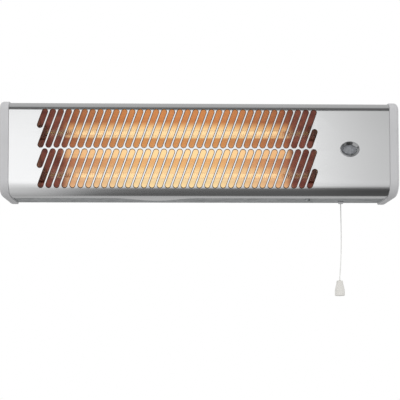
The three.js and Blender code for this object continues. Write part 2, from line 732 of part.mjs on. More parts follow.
// Two troughs side by side, one round each tube, with a ridge between them and a lip at each edge.
function reflectorSection() {
  const STEPS = 7;
  const lipZ = halfHeight - REFLECTOR_MARGIN;
  const trough = (z) => {
    const outside = z > tubeZ;
    const reach = outside ? lipZ - tubeZ : tubeZ;
    const rise = REFLECTOR_DEPTH - (outside ? REFLECTOR_LIP : REFLECTOR_RIDGE);
    return REFLECTOR_DEPTH - rise * ((z - tubeZ) / reach) ** 2;
  };
  const inner = Array.from({ length: STEPS }, (_, i) => (tubeZ * i) / STEPS);
  const outer = Array.from({ length: STEPS + 1 }, (_, i) => tubeZ + ((lipZ - tubeZ) * i) / STEPS);
  const upper = [...inner, ...outer].map((z) => [z, trough(z)]);
  const lower = upper.slice(1).reverse().map(([z, t]) => [-z, t]);
  const front = [...lower, ...upper];
  const rear = front.map(([z, t], i) => {
    const before = front[Math.max(i - 1, 0)];
    const after = front[Math.min(i + 1, front.length - 1)];
    const along = new THREE.Vector2(after[0] - before[0], after[1] - before[1]).normalize();
    return [z - along.y * REFLECTOR_SHEET, t + along.x * REFLECTOR_SHEET];
  });
  return [...front, ...rear.reverse()].map(([z, t]) => [depth(t), z]);
}

piece(
  body,
  "reflector",
  pushed(reflectorSection(), "x", leftWall + FIT, rightWall - FIT),
  BRIGHT_ALUMINIUM,
);

// ---------------------------------------------------------------- heating tubes

const tubeStart = chamberMiddle - tubeHalf;
const tubeEnd = chamberMiddle + tubeHalf;

function quartzTube() {
  const [r, bore] = [TUBE_DIAMETER / 2, tubeBore / 2];
  const profile = [[bore, tubeStart], [r, tubeStart], [r, tubeEnd], [bore, tubeEnd], [bore, tubeStart]];
  return turned(profile, "x", [0, 0, 0], 20);
}

// The right-hand ceramic: a square flange in the chamber and a neck through the bulkhead.
function ceramicHolder() {
  const flangeEnd = -FIT;
  const flangeStart = flangeEnd - CERAMIC_FLANGE;
  const neckEnd = SHEET + CERAMIC_REACH;
  const [half, neck] = [ceramicSize / 2, ceramicNeck / 2];
  const block = box(flangeStart, flangeEnd, -half, half, -half, half);
  const stem = box(flangeEnd - 1, neckEnd, -neck, neck, -neck, neck);
  const socket = rod("x", flangeStart - 1, flangeStart + TUBE_SOCKET, [0, 0, 0], TUBE_DIAMETER + 2 * FIT, 20);
  const leadHole = rod("x", flangeStart, neckEnd + 1, [0, 0, 0], leadDiameter + 2 * FIT, 12);
  return cut(block.add(stem), [socket, leadHole]);
}

// The right-hand lead: a pin from the coil's end out through the ceramic, with a flat tab on it.
const tabStart = SHEET + CERAMIC_REACH + 1.2;
const TAB = { length: 10, width: 6, thickness: 0.8 };
function coilLead() {
  const start = chamberMiddle + coilHalf + FIT - rightWall;
  const pin = rod("x", start, tabStart + 3, [0, 0, 0], leadDiameter, 12);
  const [w, t] = [TAB.width / 2, TAB.thickness / 2];
  return pin.add(box(tabStart, tabStart + TAB.length, -t, t, -w, w));
}

const rightCeramic = ceramicHolder();
const rightLead = coilLead();
for (const [level, up] of LEVELS) {
  const at = [0, tubeY, up * tubeZ];
  piece(body, `quartz_tube_${level}`, quartzTube(), QUARTZ, at);
  piece(
    body,
    `heating_coil_${level}`,
    winding(
      `heating_coil_${level}`,
      "x",
      chamberMiddle - coilHalf,
      chamberMiddle + coilHalf,
      [0, 0, 0],
      coilDiameter,
      COIL_WIRE,
      COIL_TURNS,
    ),
    HOT_WIRE,
    at,
  );
  piece(body, `ceramic_holder_right_${level}`, rightCeramic, CERAMIC, [rightWall, tubeY, up * tubeZ]);
  piece(body, `ceramic_holder_left_${level}`, mirrored(rightCeramic), CERAMIC, [leftWall, tubeY, up * tubeZ]);
  piece(body, `coil_lead_right_${level}`, rightLead, BRASS, [rightWall, tubeY, up * tubeZ]);
  piece(body, `coil_lead_left_${level}`, mirrored(rightLead), BRASS, [leftWall, tubeY, up * tubeZ]);
}

// ---------------------------------------------------------------- pilot light

const PILOT_CREST = 2; // how far the bezel stands out from the cover
const LENS_SEAT = 2.2; // how far behind the cover's front face the lens sits
const LENS_THICKNESS = 2;
const SKIRT_DEPTH = 10;
const LENS_SIZE = [20.8, 14];

function pilotBezel() {
  const ring = (fromFront, size) => oval(0, fromFront, 0, ...size);
  const between = (k) => PILOT_OUTER.map((outer, i) => outer + (PILOT_WINDOW[i] - outer) * k);
  const seat = LENS_SIZE.map((size) => size + 2 * FIT);
  return banded([
    ring(-FIT, PILOT_OUTER),
    ring(-FIT - PILOT_CREST * 0.6, between(0.06)),
    ring(-FIT - PILOT_CREST, between(0.25)),
    ring(-FIT - PILOT_CREST * 0.75, between(0.5)),
    ring(LENS_SEAT - FIT - 0.4, PILOT_WINDOW),
    ring(LENS_SEAT - FIT, PILOT_WINDOW),
    ring(LENS_SEAT - FIT + 0.01, seat),
    ring(SKIRT_DEPTH, seat),
    ring(SKIRT_DEPTH, PILOT_SKIRT),
    ring(-FIT + 0.01, PILOT_SKIRT),
  ]);
}

function pilotLens() {
  const size = (k) => LENS_SIZE.map((v) => v * k);
  return lofted([
    oval(0, LENS_SEAT + LENS_THICKNESS, 0, ...size(1)),
    oval(0, LENS_SEAT, 0, ...size(1)),
    oval(0, LENS_SEAT, 0, ...size(0.82)),
    oval(0, LENS_SEAT - 0.5, 0, ...size(0.7)),
    oval(0, LENS_SEAT - 0.8, 0, ...size(0.4)),
  ]);
}

// A disc pushed on behind the bezel, with a hole that grips the lamp.
function lampHolder() {
  const plug = LENS_SIZE.map((size) => size - 0.2);
  const disc = lofted([
    oval(0, SKIRT_DEPTH - 3, 0, ...plug),
    oval(0, SKIRT_DEPTH + FIT, 0, ...plug),
    oval(0, SKIRT_DEPTH + FIT, 0, ...PILOT_OUTER),
    oval(0, SKIRT_DEPTH + FIT + 2, 0, ...PILOT_OUTER),
  ]);
  return disc.subtract(rod("y", 0, 30, [0, 0, 0], LAMP_DIAMETER + 2 * FIT, 16));
}

const LAMP_PROFILE = [[0, 5], [1.6, 5.2], [2.6, 6.2], [3, 8], [3, 19], [2.2, 20], [0, 20]];
const pilotAt = [pilotX, frontY, PILOT_HEIGHT];
piece(body, "pilot_bezel", pilotBezel(), CHROME, pilotAt);
piece(body, "pilot_lens", pilotLens(), LENS, pilotAt);
piece(body, "pilot_lamp_holder", lampHolder(), BLACK_PLASTIC, pilotAt);
piece(body, "pilot_lamp", turned(LAMP_PROFILE, "y", [0, 0, 0], 16), QUARTZ, pilotAt);

// ---------------------------------------------------------------- pull switch

const glandCore = GLAND_DIAMETER - 2; // the part of the gland that passes up through the housing
const glandNeckTop = switchBottom + 2.2;
const axleZ = switchTop + 12;
const yokeRear = switchY + SWITCH_SIZE[1] / 2;
const yokeFront = yokeRear - 3;
const rotorRear = yokeFront - FIT - 1;
const rotorFront = rotorRear - ROTOR_THICKNESS;

// A block with an upright bore for the plunger, and a yoke at the back that carries the rotor.
function switchBody() {
  const [width, length] = SWITCH_SIZE;
  const block = box(
    switchX - width / 2, switchX + width / 2,
    switchY - length / 2, switchY + length / 2,
    switchBottom, switchTop,
  );
  const yoke = box(
    switchX - width / 2, switchX + width / 2,
    yokeFront, yokeRear,
    switchTop - 1, switchTop + YOKE_HEIGHT,
  );
  const axle = rod("y", rotorFront - 2, yokeFront + 1, [switchX, 0, axleZ], AXLE_DIAMETER, 16);
  const shoulder = rod("y", rotorRear + FIT, yokeFront + 1, [switchX, 0, axleZ], AXLE_DIAMETER + 4, 16);
  const at = [switchX, switchY, 0];
  const bore = rod("z", switchFloorTop, switchTop + 1, at, PLUNGER_DIAMETER + 2 * FIT, 20);
  const cordHole = rod("z", switchBottom - 1, switchTop, at, CORD_DIAMETER + 1.4, 12);
  const neckHole = rod("z", switchBottom - 1, glandNeckTop + FIT, at, glandCore + 2 * FIT, 20);
  return cut(join([block, yoke, axle, shoulder]), [bore, cordHole, neckHole]);
}

// A turned nut that passes up through the housing's floor, with a boss below it.
function cordGland() {
  const [r, core, bore] = [GLAND_DIAMETER / 2, glandCore / 2, CORD_DIAMETER / 2 + 0.6];
  const seat = -housingHalf - FIT;
  const profile = [
    [bore, glandNeckTop],
    [core, glandNeckTop],
    [core, seat],
    [r, seat],
    [r, glandBottom + 1.4],
    [r - 1.2, glandBottom],
    [bore + 0.5, glandBottom],
    [bore, glandBottom + 1],
    [bore, glandNeckTop],
  ];
  return turned(profile, "z", [switchX, switchY, 0], 20);
}

// A toothed wheel that each pull turns by one step.
function switchRotor() {
  const outline = Array.from({ length: ROTOR_TEETH * 2 }, (_, i) => {
    const angle = (i / (ROTOR_TEETH * 2)) * Math.PI * 2;
    const r = (ROTOR_DIAMETER / 2) * (i % 2 ? 0.78 : 1);
    return [switchX + r * Math.cos(angle), axleZ + r * Math.sin(angle)];
  });
  const wheel = pushed(outline, "y", rotorFront, rotorRear);
  const bore = rod("y", rotorFront - 1, rotorRear + 1, [switchX, 0, axleZ], AXLE_DIAMETER + 2 * FIT, 16);
  return wheel.subtract(bore);
}

piece(body, "switch_body", switchBody(), BLACK_PLASTIC);
piece(body, "cord_gland", cordGland(), GREY_PLASTIC);
piece(body, "switch_rotor", switchRotor(), WHITE_PLASTIC);
piece(
  body,
  "return_spring",
  winding(
    "return_spring",
    "z",
    switchFloorTop + FIT,
    plungerBottom - FIT,
    [switchX, switchY, 0],
    SPRING_DIAMETER,
    SPRING_WIRE,
    SPRING_TURNS,
  ),
  ZINC_STEEL,
);

const innerCordTop = plungerBottom - FIT;
const innerCordBottom = glandBottom + FIT;
piece(
  pull,
  "switch_plunger",
  rod("z", plungerBottom, plungerTop, [switchX, switchY, 0], PLUNGER_DIAMETER, 20),
  WHITE_PLASTIC,
);
piece(
  pull,
  "inner_cord",
  rod("z", innerCordBottom, innerCordTop, [switchX, switchY, 0], CORD_DIAMETER, 8),
  WHITE_CORD,
);

// ---------------------------------------------------------------- hanging cord and knob

const cordPoints = CORD_ROUTE.map(([right, down]) => [switchX + right, switchY, glandBottom - down]);
const [cordRight, cordLength] = CORD_ROUTE[CORD_ROUTE.length - 1];
piece(hanging, "pull_cord", wire(cordPoints, CORD_DIAMETER, 32, 8), WHITE_CORD);

function pullKnob() {
  const [top, bottom] = [KNOB_TOP / 2, KNOB_BOTTOM / 2];
  const profile = [
    [0, -KNOB_HEIGHT],
    [bottom - 1.2, -KNOB_HEIGHT],
    [bottom, -KNOB_HEIGHT + 1],
    [bottom, -KNOB_HEIGHT + 6],
    [bottom - 0.7, -KNOB_HEIGHT + 11],
    [top + 0.4, -4],
    [top, -2],
    [top - 1, -0.9],
    [1.4, -0.5],
    [1.1, 0],
    [0, 0],
  ];
  return turned(profile, "z", [0, 0, 0], 20);
}
piece(hanging, "pull_knob", pullKnob(), WHITE_PLASTIC, [
  switchX + cordRight,
  switchY,
  glandBottom - cordLength - FIT,
]);

// ---------------------------------------------------------------- wiring

// A block of three poles, with a hole from below and a screw shaft from the front in each.
function terminalBlock() {
  const [width, length, height] = TERMINAL_SIZE;
  const rear = innerBackY - FIT;
  const z0 = TERMINAL_HEIGHT - height / 2;
  const block = box(terminalX - width / 2, terminalX + width / 2, rear - length, rear, z0, z0 + height);
  const holes = [];
  for (const pole of [-1, 0, 1]) {
    const x = terminalX + pole * POLE_PITCH;
    holes.push(rod("z", z0 - 1, z0 + 6, [x, rear - length / 2, 0], 4, 12));
    holes.push(rod("y", rear - length - 1, rear - length + 3, [x, 0, TERMINAL_HEIGHT], 5, 12));
  }
  holes.push(rod("y", rear - 8, rear + 1, [terminalX, 0, TERMINAL_HEIGHT], threadHole, 12));
  return cut(block, holes);
}
const poleX = (pole) => terminalX + POLE_PITCH * pole;
const poleY = innerBackY - FIT - TERMINAL_SIZE[1] / 2;
const poleZ = TERMINAL_HEIGHT - TERMINAL_SIZE[2] / 2 - WIRE_GAP;

piece(body, "terminal_block", terminalBlock(), WHITE_PLASTIC);
piece(body, "terminal_screw", rearScrew(7), ZINC_STEEL, [terminalX, rearSeat, TERMINAL_HEIGHT]);
piece(body, "earth_screw", rearScrew(9), BRASS, [earthX, rearSeat, earthZ]);

// A rubber ring in the housing's back, for the supply lead.
function cableGrommet() {
  const [bore, neck, flange] = [GROMMET_BORE / 2, GROMMET_NECK / 2, GROMMET_NECK / 2 + 2.5];
  const [outside, inside] = [backY + FIT, innerBackY - FIT];
  const profile = [
    [bore, inside - 2],
    [flange - 0.6, inside - 2],
    [flange, inside - 1.4],
    [flange, inside],
    [neck, inside],
    [neck, outside],
    [flange, outside],
    [flange, outside + 1.2],
    [flange - 0.8, outside + 2],
    [bore, outside + 2],
    [bore, inside - 2],
  ];
  return turned(profile, "y", [grommetX, 0, GROMMET_HEIGHT], 16);
}
piece(body, "cable_grommet", cableGrommet(), RUBBER);

// An arched strap over the place where the supply lead lies, on the housing's back.
function cableClamp() {
  const rear = innerBackY - FIT;
  const front = rear - CLAMP_SHEET;
  const inner = CLAMP_BORE / 2;
  const outer = inner + CLAMP_SHEET * 0.8;
  const end = CLAMP_SCREW_REACH + 4;
  const outline = [
    [grommetX - end, rear],
    [grommetX - end, front],
    [grommetX - outer - 0.4, front],
    ...arc(grommetX, front, outer, 180, 360, 8),
    [grommetX + outer + 0.4, front],
    [grommetX + end, front],
    [grommetX + end, rear],
    [grommetX + inner, rear],
    ...arc(grommetX, front, inner, 360, 180, 8),
    [grommetX - inner, rear],
  ];
  const strap = pushed(outline, "z", CLAMP_HEIGHT - CLAMP_WIDTH / 2, CLAMP_HEIGHT + CLAMP_WIDTH / 2);
  const hole = (x) => rod("y", front - 2, rear + 1, [x, 0, CLAMP_HEIGHT], threadHole, 12);
  return cut(strap, clampScrewX.map(hole));
}
piece(body, "cable_clamp", cableClamp(), BLACK_PLASTIC);
clampScrewX.forEach((x, i) => {
  piece(body, `clamp_screw_${i + 1}`, rearScrew(5), ZINC_STEEL, [x, rearSeat, CLAMP_HEIGHT]);
});

// A bimetal disc in a can on the right bulkhead, with two tabs.
const CUTOUT_TAB = 4;
function thermalCutout() {
  const face = rightWall + SHEET + FIT;
  const can = rod("x", face, face + 8, [0, cutoutY, 0], 16, 20);
  const tabs = [-1, 1].map((up) => {
    const z = up * CUTOUT_TAB;
    return box(face + 7, face + 16, cutoutY - 3, cutoutY + 3, z - 0.4, z + 0.4);
  });
  return join([can, ...tabs]);
}
piece(body, "thermal_cutout", thermalCutout(), BLACK_PLASTIC);

const tabX = rightWall + tabStart + TAB.length / 2;
const tabEdge = tubeZ - TAB.width / 2 - WIRE_GAP; // just below the upper tab
const cutoutTabX = rightWall + SHEET + FIT + 12;
const cutoutTabZ = CUTOUT_TAB + 0.4 + WIRE_GAP;
const switchSide = SWITCH_SIZE[0] / 2 + WIRE_GAP;
const switchWireZ = switchBottom + 15;
const linkX = leftWall - (tabX - rightWall);

const WIRES = [
  ["wire_live", BROWN_SLEEVE, 20, [
    [poleX(1), poleY, poleZ],
    [poleX(1), poleY, poleZ - 2],
    [poleX(1) + 2, poleY - 1, poleZ - 7],
    [switchX + switchSide + 6, switchY + 2, 0],
    [switchX + switchSide + 7, switchY, switchWireZ + 18],
    [switchX + switchSide + 5.5, switchY, switchWireZ + 4],
    [switchX + switchSide + 2, switchY, switchWireZ],
    [switchX + switchSide, switchY, switchWireZ],
  ]],
  ["wire_switched", BROWN_SLEEVE, 18, [
    [switchX - switchSide, switchY, switchWireZ],
    [switchX - switchSide - 2, switchY, switchWireZ],
    [cutoutTabX + 4, switchY - 8, switchWireZ + 11],
    [cutoutTabX - 0.5, cutoutY + 11, -17],
    [cutoutTabX, cutoutY, -cutoutTabZ - 3],
    [cutoutTabX, cutoutY, -cutoutTabZ],
  ]],
  ["wire_cutout", WHITE_SLEEVE, 12, [
    [cutoutTabX, cutoutY, cutoutTabZ],
    [cutoutTabX, cutoutY, cutoutTabZ + 2],
    [tabX + 4, (cutoutY + tubeY) / 2, tubeZ / 2],
    [tabX, tubeY, tabEdge - 2],
    [tabX, tubeY, tabEdge],
  ]],
  ["wire_neutral", BLUE_SLEEVE, 20, [
    [poleX(0), poleY, poleZ],
    [poleX(0), poleY, poleZ - 2],
    [switchX - 6, depth(62), 8],
    [switchX - 13, depth(54), -8],
    [tabX + 4, tubeY + 4, (-tubeZ * 2) / 3],
    [tabX, tubeY, -tabEdge + 2],
    [tabX, tubeY, -tabEdge],
  ]],
  ["wire_link", WHITE_SLEEVE, 18, [
    [linkX, tubeY, tabEdge],
    [linkX, tubeY, tabEdge - 2],
    [linkX - 4, tubeY + 4, tubeZ / 3],
    [linkX - 4, tubeY + 4, -tubeZ / 3],
    [linkX, tubeY, -tabEdge + 2],
    [linkX, tubeY, -tabEdge],
  ]],
];
for (const [name, look, steps, points] of WIRES) {
  piece(body, name, wire(points, WIRE_DIAMETER, steps, 6), look);
}

// ---------------------------------------------------------------- wall bracket and pivot

// The side view, in y and z, of an arm with a round end about the pivot.
function armOutline(rootY) {
  const turnEnd = rootY > pivotY ? [90, 270] : [90, -90];
  return [
    [rootY, pivotZ + EAR_RADIUS],
    ...arc(pivotY, pivotZ, EAR_RADIUS, ...turnEnd, 10),
    [rootY, pivotZ - EAR_RADIUS],
  ];
}
const pivotHole = (x0, x1) => rod("x", x0, x1, [0, pivotY, pivotZ], BOLT_DIAMETER + 2 * FIT);

function keyhole(x) {
  const z = bracketTop - KEYHOLE_FROM_TOP;
  const top = z + KEYHOLE_RISE;
  const r = KEYHOLE_SLOT / 2;
  const entry = rod("y", -BRACKET_SHEET - 1, 1, [x, 0, z], KEYHOLE_HEAD);
  const slot = [...arc(x, top, r, 0, 180, 6), [x - r, z], [x + r, z]];
  return entry.add(pushed(slot, "y", -BRACKET_SHEET - 1, 1));
}

// A bent strip: a plate against the wall, with an ear at each end for the pivot.
function wallBracket() {
  const plate = box(-bracketHalf, bracketHalf, -BRACKET_SHEET, 0, bracketBottom, bracketTop);
  const ear = (side) => {
    const [a, b] = [side * bracketHalf, side * (bracketHalf - BRACKET_SHEET)];
    return pushed(armOutline(-0.1), "x", Math.min(a, b), Math.max(a, b));
  };
  const holes = [keyhole(-KEYHOLE_SPACING / 2), keyhole(KEYHOLE_SPACING / 2)];
  holes.push(pivotHole(-bracketHalf - 1, bracketHalf + 1));
  return cut(join([plate, ear(-1), ear(1)]), holes);
}
piece(wallSide, "wall_bracket", wallBracket(), ZINC_STEEL);

const FOOT = { width: 17, thickness: 2, height: 28 };

// The right-hand lug: a foot on the housing's back, and an arm to the pivot.
function rightLug() {
  const rear = backY + FIT;
  const arm = pushed(armOutline(rear + 0.1), "x", lugOuter - LUG_SHEET, lugOuter);
  const foot = box(
    lugOuter - FOOT.width, lugOuter,
    rear, rear + FOOT.thickness,
    pivotZ - FOOT.height / 2, pivotZ + FOOT.height / 2,
  );
  return arm.add(foot).subtract(pivotHole(lugOuter - LUG_SHEET - 1, lugOuter + 1));
}
const lug = rightLug();
piece(body, "hinge_lug_left", mirrored(lug), ZINC_STEEL);
piece(body, "hinge_lug_right", lug, ZINC_STEEL);

const boltSeat = bracketHalf + FIT;
const nutOuter = lugOuter - LUG_SHEET - FIT;
const NUT = { across: 8, thickness: 4 };

// The right-hand bolt, from its head outside the bracket's ear in through the lug.
function rightBolt() {
  const profile = [
    [0, nutOuter - NUT.thickness - 1.5],
    [BOLT_DIAMETER / 2, nutOuter - NUT.thickness - 1.5],
    [BOLT_DIAMETER / 2, boltSeat],
    [5.5, boltSeat],
    [5.5, boltSeat + 1.6],
    [4, boltSeat + 3],
    [0, boltSeat + 3.2],
  ];
  return turned(profile, "x", [0, pivotY, pivotZ], 16);
}

function rightNut() {
  const r = NUT.across / Math.sqrt(3);
  const outline = arc(pivotY, pivotZ, r, 0, 300, 5);
  const block = pushed(outline, "x", nutOuter - NUT.thickness, nutOuter);
  return block.subtract(pivotHole(nutOuter - NUT.thickness - 1, nutOuter + 1));
}
const bolt = rightBolt();
const nut = rightNut();
piece(wallSide, "pivot_bolt_left", mirrored(bolt), ZINC_STEEL);
piece(wallSide, "pivot_bolt_right", bolt, ZINC_STEEL);
piece(wallSide, "pivot_nut_left", mirrored(nut), ZINC_STEEL);
piece(wallSide, "pivot_nut_right", nut, ZINC_STEEL);

export default heater;
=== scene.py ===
"""The looks of a wall-mounted infrared bar heater with a slotted cover, two tubes and a pull cord.

Metres, +Z up, +X to the right of someone facing the heater. The front faces -Y, and the wall is
Y = 0.
"""

import math

import bmesh
import bpy
from mathutils import Matrix, Vector
from mathutils.geometry import delaunay_2d_cdt
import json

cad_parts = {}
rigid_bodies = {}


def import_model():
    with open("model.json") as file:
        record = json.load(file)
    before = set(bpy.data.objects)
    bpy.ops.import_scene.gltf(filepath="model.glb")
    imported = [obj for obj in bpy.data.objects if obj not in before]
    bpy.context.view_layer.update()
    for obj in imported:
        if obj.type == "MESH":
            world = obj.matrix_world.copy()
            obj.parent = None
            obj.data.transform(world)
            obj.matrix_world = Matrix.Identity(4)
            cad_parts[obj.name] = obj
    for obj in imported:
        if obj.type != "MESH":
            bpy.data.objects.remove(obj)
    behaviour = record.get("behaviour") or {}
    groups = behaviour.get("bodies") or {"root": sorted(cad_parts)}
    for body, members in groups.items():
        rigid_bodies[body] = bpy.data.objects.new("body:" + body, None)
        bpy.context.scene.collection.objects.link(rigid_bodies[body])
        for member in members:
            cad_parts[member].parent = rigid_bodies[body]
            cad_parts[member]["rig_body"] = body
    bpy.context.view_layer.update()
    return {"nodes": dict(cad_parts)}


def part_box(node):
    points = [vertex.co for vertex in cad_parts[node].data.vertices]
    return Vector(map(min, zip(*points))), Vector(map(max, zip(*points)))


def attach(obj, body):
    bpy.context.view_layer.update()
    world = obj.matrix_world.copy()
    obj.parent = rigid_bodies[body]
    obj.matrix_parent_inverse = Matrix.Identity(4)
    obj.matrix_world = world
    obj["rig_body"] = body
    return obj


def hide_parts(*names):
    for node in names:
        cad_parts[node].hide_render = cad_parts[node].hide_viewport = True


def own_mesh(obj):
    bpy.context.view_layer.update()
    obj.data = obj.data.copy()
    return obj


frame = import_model()

MM = 0.001
HEATER, HANGING = "heater_body", "hanging_cord"

# ---------------------------------------------------------------- sizes and places

SHEET = 0.8 * MM
FIT = 0.3 * MM
UPPER_BEND = 12 * MM  # outside radii of the cover's bends
LOWER_BEND = 20 * MM
FLANGE_DEPTH = 32 * MM
TONGUE_WIDTH = 122 * MM
TONGUE_MIDDLE = -61 * MM

SLOT_WIDTH = 6.9 * MM
SLOT_PITCH = 10.74 * MM
SLOT_LEAN = math.radians(19.9)
SLOT_TOP_MARGIN = 10.4 * MM
SLOT_BOTTOM_MARGIN = 9.6 * MM
ROW_LAND = 2.2 * MM
SHORT_SLOT = 25.5 * MM
SLOT_END_MARGIN = 14.9 * MM
LIP = 0.85 * MM  # radius of the rolled edge round each slot

CAP_PROUD = 1.6 * MM
CAP_ROUND = 6 * MM
CAP_REAR_RADIUS = 5 * MM
CAP_WALL = 2.6 * MM
SPIGOT_LENGTH = 9.2 * MM
SPIGOT_WALL = 1.8 * MM

REFLECTOR_MARGIN = 6.5 * MM  # from the body's top to the reflector's lip
TUBE_WALL = 1 * MM
COIL_MARGIN = 33 * MM  # from the chamber's ends to the coils
COIL_TURNS = 118
COIL_WIRE = 1.1 * MM

cover_low, cover_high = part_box("front_cover")
front_y = cover_low.y
half_height = cover_high.z
cover_end = cover_high.x
tongue_depth = cover_high.y - front_y - FLANGE_DEPTH
left_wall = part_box("left_bulkhead")[1].x
right_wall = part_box("right_bulkhead")[1].x - SHEET
chamber_middle = (left_wall + right_wall) / 2
housing_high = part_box("rear_housing")[1]
inner_back_y = housing_high.y - SHEET
inner_half = housing_high.z - SHEET


def middle(node):
    """The middle of a CAD node's box."""
    low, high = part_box(node)
    return (low + high) / 2


# ---------------------------------------------------------------- camera

FOCAL_LENGTH = 83.556  # on the default 36 mm sensor
CAMERA_DISTANCE = 1250 * MM  # in front of the cover's face
CAMERA_DROP = 258.6 * MM  # below the middle of the heater's body
CAMERA_LEFT = 30 * MM  # of the middle
CAMERA_PITCH = math.radians(2.4)
CAMERA_ROLL = math.radians(0.09)
CAMERA_YAW = math.radians(1.375)  # to the right
SHIFT_X = -0.001
SHIFT_Y = 0.2498


def make_camera():
    data = bpy.data.cameras.new("camera")
    data.lens = FOCAL_LENGTH
    data.shift_x = SHIFT_X
    data.shift_y = SHIFT_Y
    camera = bpy.data.objects.new("camera", data)
    camera.location = (-CAMERA_LEFT, front_y - CAMERA_DISTANCE, -CAMERA_DROP)
    camera.rotation_euler = (math.pi / 2 + CAMERA_PITCH, CAMERA_ROLL, -CAMERA_YAW)
    bpy.context.scene.collection.objects.link(camera)
    bpy.context.scene.camera = camera


make_camera()

# ---------------------------------------------------------------- node materials


class Tree:
    """A node tree, with short calls for the nodes that the materials and the world share."""

    def __init__(self, tree):
        self.tree = tree

    def add(self, kind, **settings):
        node = self.tree.nodes.new(kind)
        for key, value in settings.items():
            setattr(node, key, value)
        return node

    def link(self, output, target):
        self.tree.links.new(output, target)

    def fill(self, socket, value):
        """Sets a socket to a number or a colour, or links an output to it."""
        if isinstance(value, tuple):
            socket.default_value = (*value, 1)
        elif isinstance(value, (int, float)):
            socket.default_value = value
        else:
            self.link(value, socket)

    def split(self, vector):
        node = self.add("ShaderNodeSeparateXYZ")
        self.link(vector, node.inputs["Vector"])
        return node.outputs["X"], node.outputs["Y"], node.outputs["Z"]

    def math(self, operation, *values):
        node = self.add("ShaderNodeMath", operation=operation)
        for socket, value in zip(node.inputs, values):
            self.fill(socket, value)
        return node.outputs["Value"]

    def spread(self, value, low, high, from_low=0.3, from_high=0.7, kind="LINEAR"):
        """A value mapped from one range to another."""
        node = self.add("ShaderNodeMapRange", interpolation_type=kind)
        for key, number in zip(
            ("From Min", "From Max", "To Min", "To Max"), (from_low, from_high, low, high)
        ):
            node.inputs[key].default_value = number
        self.link(value, node.inputs["Value"])
        return node.outputs["Result"]

    def ramp(self, value, stops):
        """Colours by a value from 0 to 1. A stop is (position, (r, g, b))."""
        node = self.add("ShaderNodeValToRGB")
        elements = node.color_ramp.elements
        while len(elements) < len(stops):
            elements.new(0.5)
        for element, (position, colour) in zip(elements, stops):
            element.position = position
            element.color = (*colour, 1)
        self.link(value, node.inputs["Fac"])
        return node.outputs["Color"]

    def mixed(self, factor, first, second):
        """Two colours, by a factor from 0 to 1."""
        node = self.add("ShaderNodeMix", data_type="RGBA")
        self.link(factor, node.inputs["Factor"])
        for key, colour in ((6, first), (7, second)):
            self.fill(node.inputs[key], colour)
        return node.outputs[2]

    def mixed_shaders(self, factor, first, second):
        node = self.add("ShaderNodeMixShader")
        self.link(factor, node.inputs["Fac"])
        self.link(first, node.inputs[1])
        self.link(second, node.inputs[2])
        return node.outputs["Shader"]

    def rays(self, *kinds):
        """1 for rays of any of these kinds, and 0 for the rest."""
        outputs = self.add("ShaderNodeLightPath").outputs
        total = outputs[f"Is {kinds[0]} Ray"]
        for kind in kinds[1:]:
            total = self.math("MAXIMUM", total, outputs[f"Is {kind} Ray"])
        return total


class Nodes(Tree):
    """A material's node tree. Places are the object's own coordinates."""

    def __init__(self, name):
        self.material = bpy.data.materials.new(name)
        self.material.use_nodes = True
        super().__init__(self.material.node_tree)
        self.shader = self.tree.nodes["Principled BSDF"]
        self.place = self.add("ShaderNodeTexCoord").outputs["Object"]

    def set(self, **values):
        for key, value in values.items():
            socket = key.replace("_", " ").title().replace("Ior", "IOR")
            self.shader.inputs[socket].default_value = value

    def stretched(self, scale):
        """The object's coordinates, each multiplied by a number."""
        node = self.add("ShaderNodeMapping")
        node.inputs["Scale"].default_value = scale
        self.link(self.place, node.inputs["Vector"])
        return node.outputs["Vector"]

    def noise(self, scale, detail=3.0, roughness=0.5, stretch=None):
        node = self.add("ShaderNodeTexNoise")
        node.inputs["Scale"].default_value = scale
        node.inputs["Detail"].default_value = detail
        node.inputs["Roughness"].default_value = roughness
        self.link(self.stretched(stretch) if stretch else self.place, node.inputs["Vector"])
        return node.outputs["Fac"]

    def voronoi(self, scale):
        node = self.add("ShaderNodeTexVoronoi")
        node.inputs["Scale"].default_value = scale
        self.link(self.place, node.inputs["Vector"])
        return node.outputs["Color"]

    def bump(self, height, strength, distance):
        node = self.add("ShaderNodeBump")
        node.inputs["Strength"].default_value = strength
        node.inputs["Distance"].default_value = distance
        self.link(height, node.inputs["Height"])
        self.link(node.outputs["Normal"], self.shader.inputs["Normal"])

    def colour(self, output):
        self.link(output, self.shader.inputs["Base Color"])

    def roughness(self, output):
        self.link(output, self.shader.inputs["Roughness"])

    def xyz(self):
        return self.split(self.place)


def shades(colour, spread):
    """Two colours a little darker and a little lighter than one, for a ramp."""
    return [
        (0.3, tuple(c * (1 - spread) for c in colour)),
        (0.7, tuple(min(c * (1 + spread), 1) for c in colour)),
    ]


# Painted shade and dark reflection on the slots' rolled rims, not the steel's own colour.
RIM_SHADE_COLOUR = (0.08, 0.058, 0.045)


def polished_steel():
    """Bright steel with painted shade and dark reflection on the slots' rolled rims, which the
    cover's edge values mark.
    """
    n = Nodes("polished_steel")
    n.set(metallic=1.0)
    grain = n.noise(1, 4, 0.6, stretch=(14, 900, 2600))
    rolled = n.add("ShaderNodeAttribute", attribute_name="edge").outputs["Fac"]
    n.colour(n.mixed(rolled, n.ramp(grain, shades((0.84, 0.845, 0.85), 0.02)), RIM_SHADE_COLOUR))
    n.roughness(n.spread(grain, 0.13, 0.2))
    n.bump(grain, 0.12, 0.00002)
    return n.material


def zinc_steel():
    n = Nodes("zinc_steel")
    n.set(metallic=1.0)
    flakes = n.voronoi(220)
    cloud = n.noise(35, 4)
    n.colour(n.ramp(cloud, shades((0.56, 0.58, 0.59), 0.12)))
    n.roughness(n.spread(flakes, 0.3, 0.5, 0, 1))
    n.bump(cloud, 0.2, 0.0001)
    return n.material


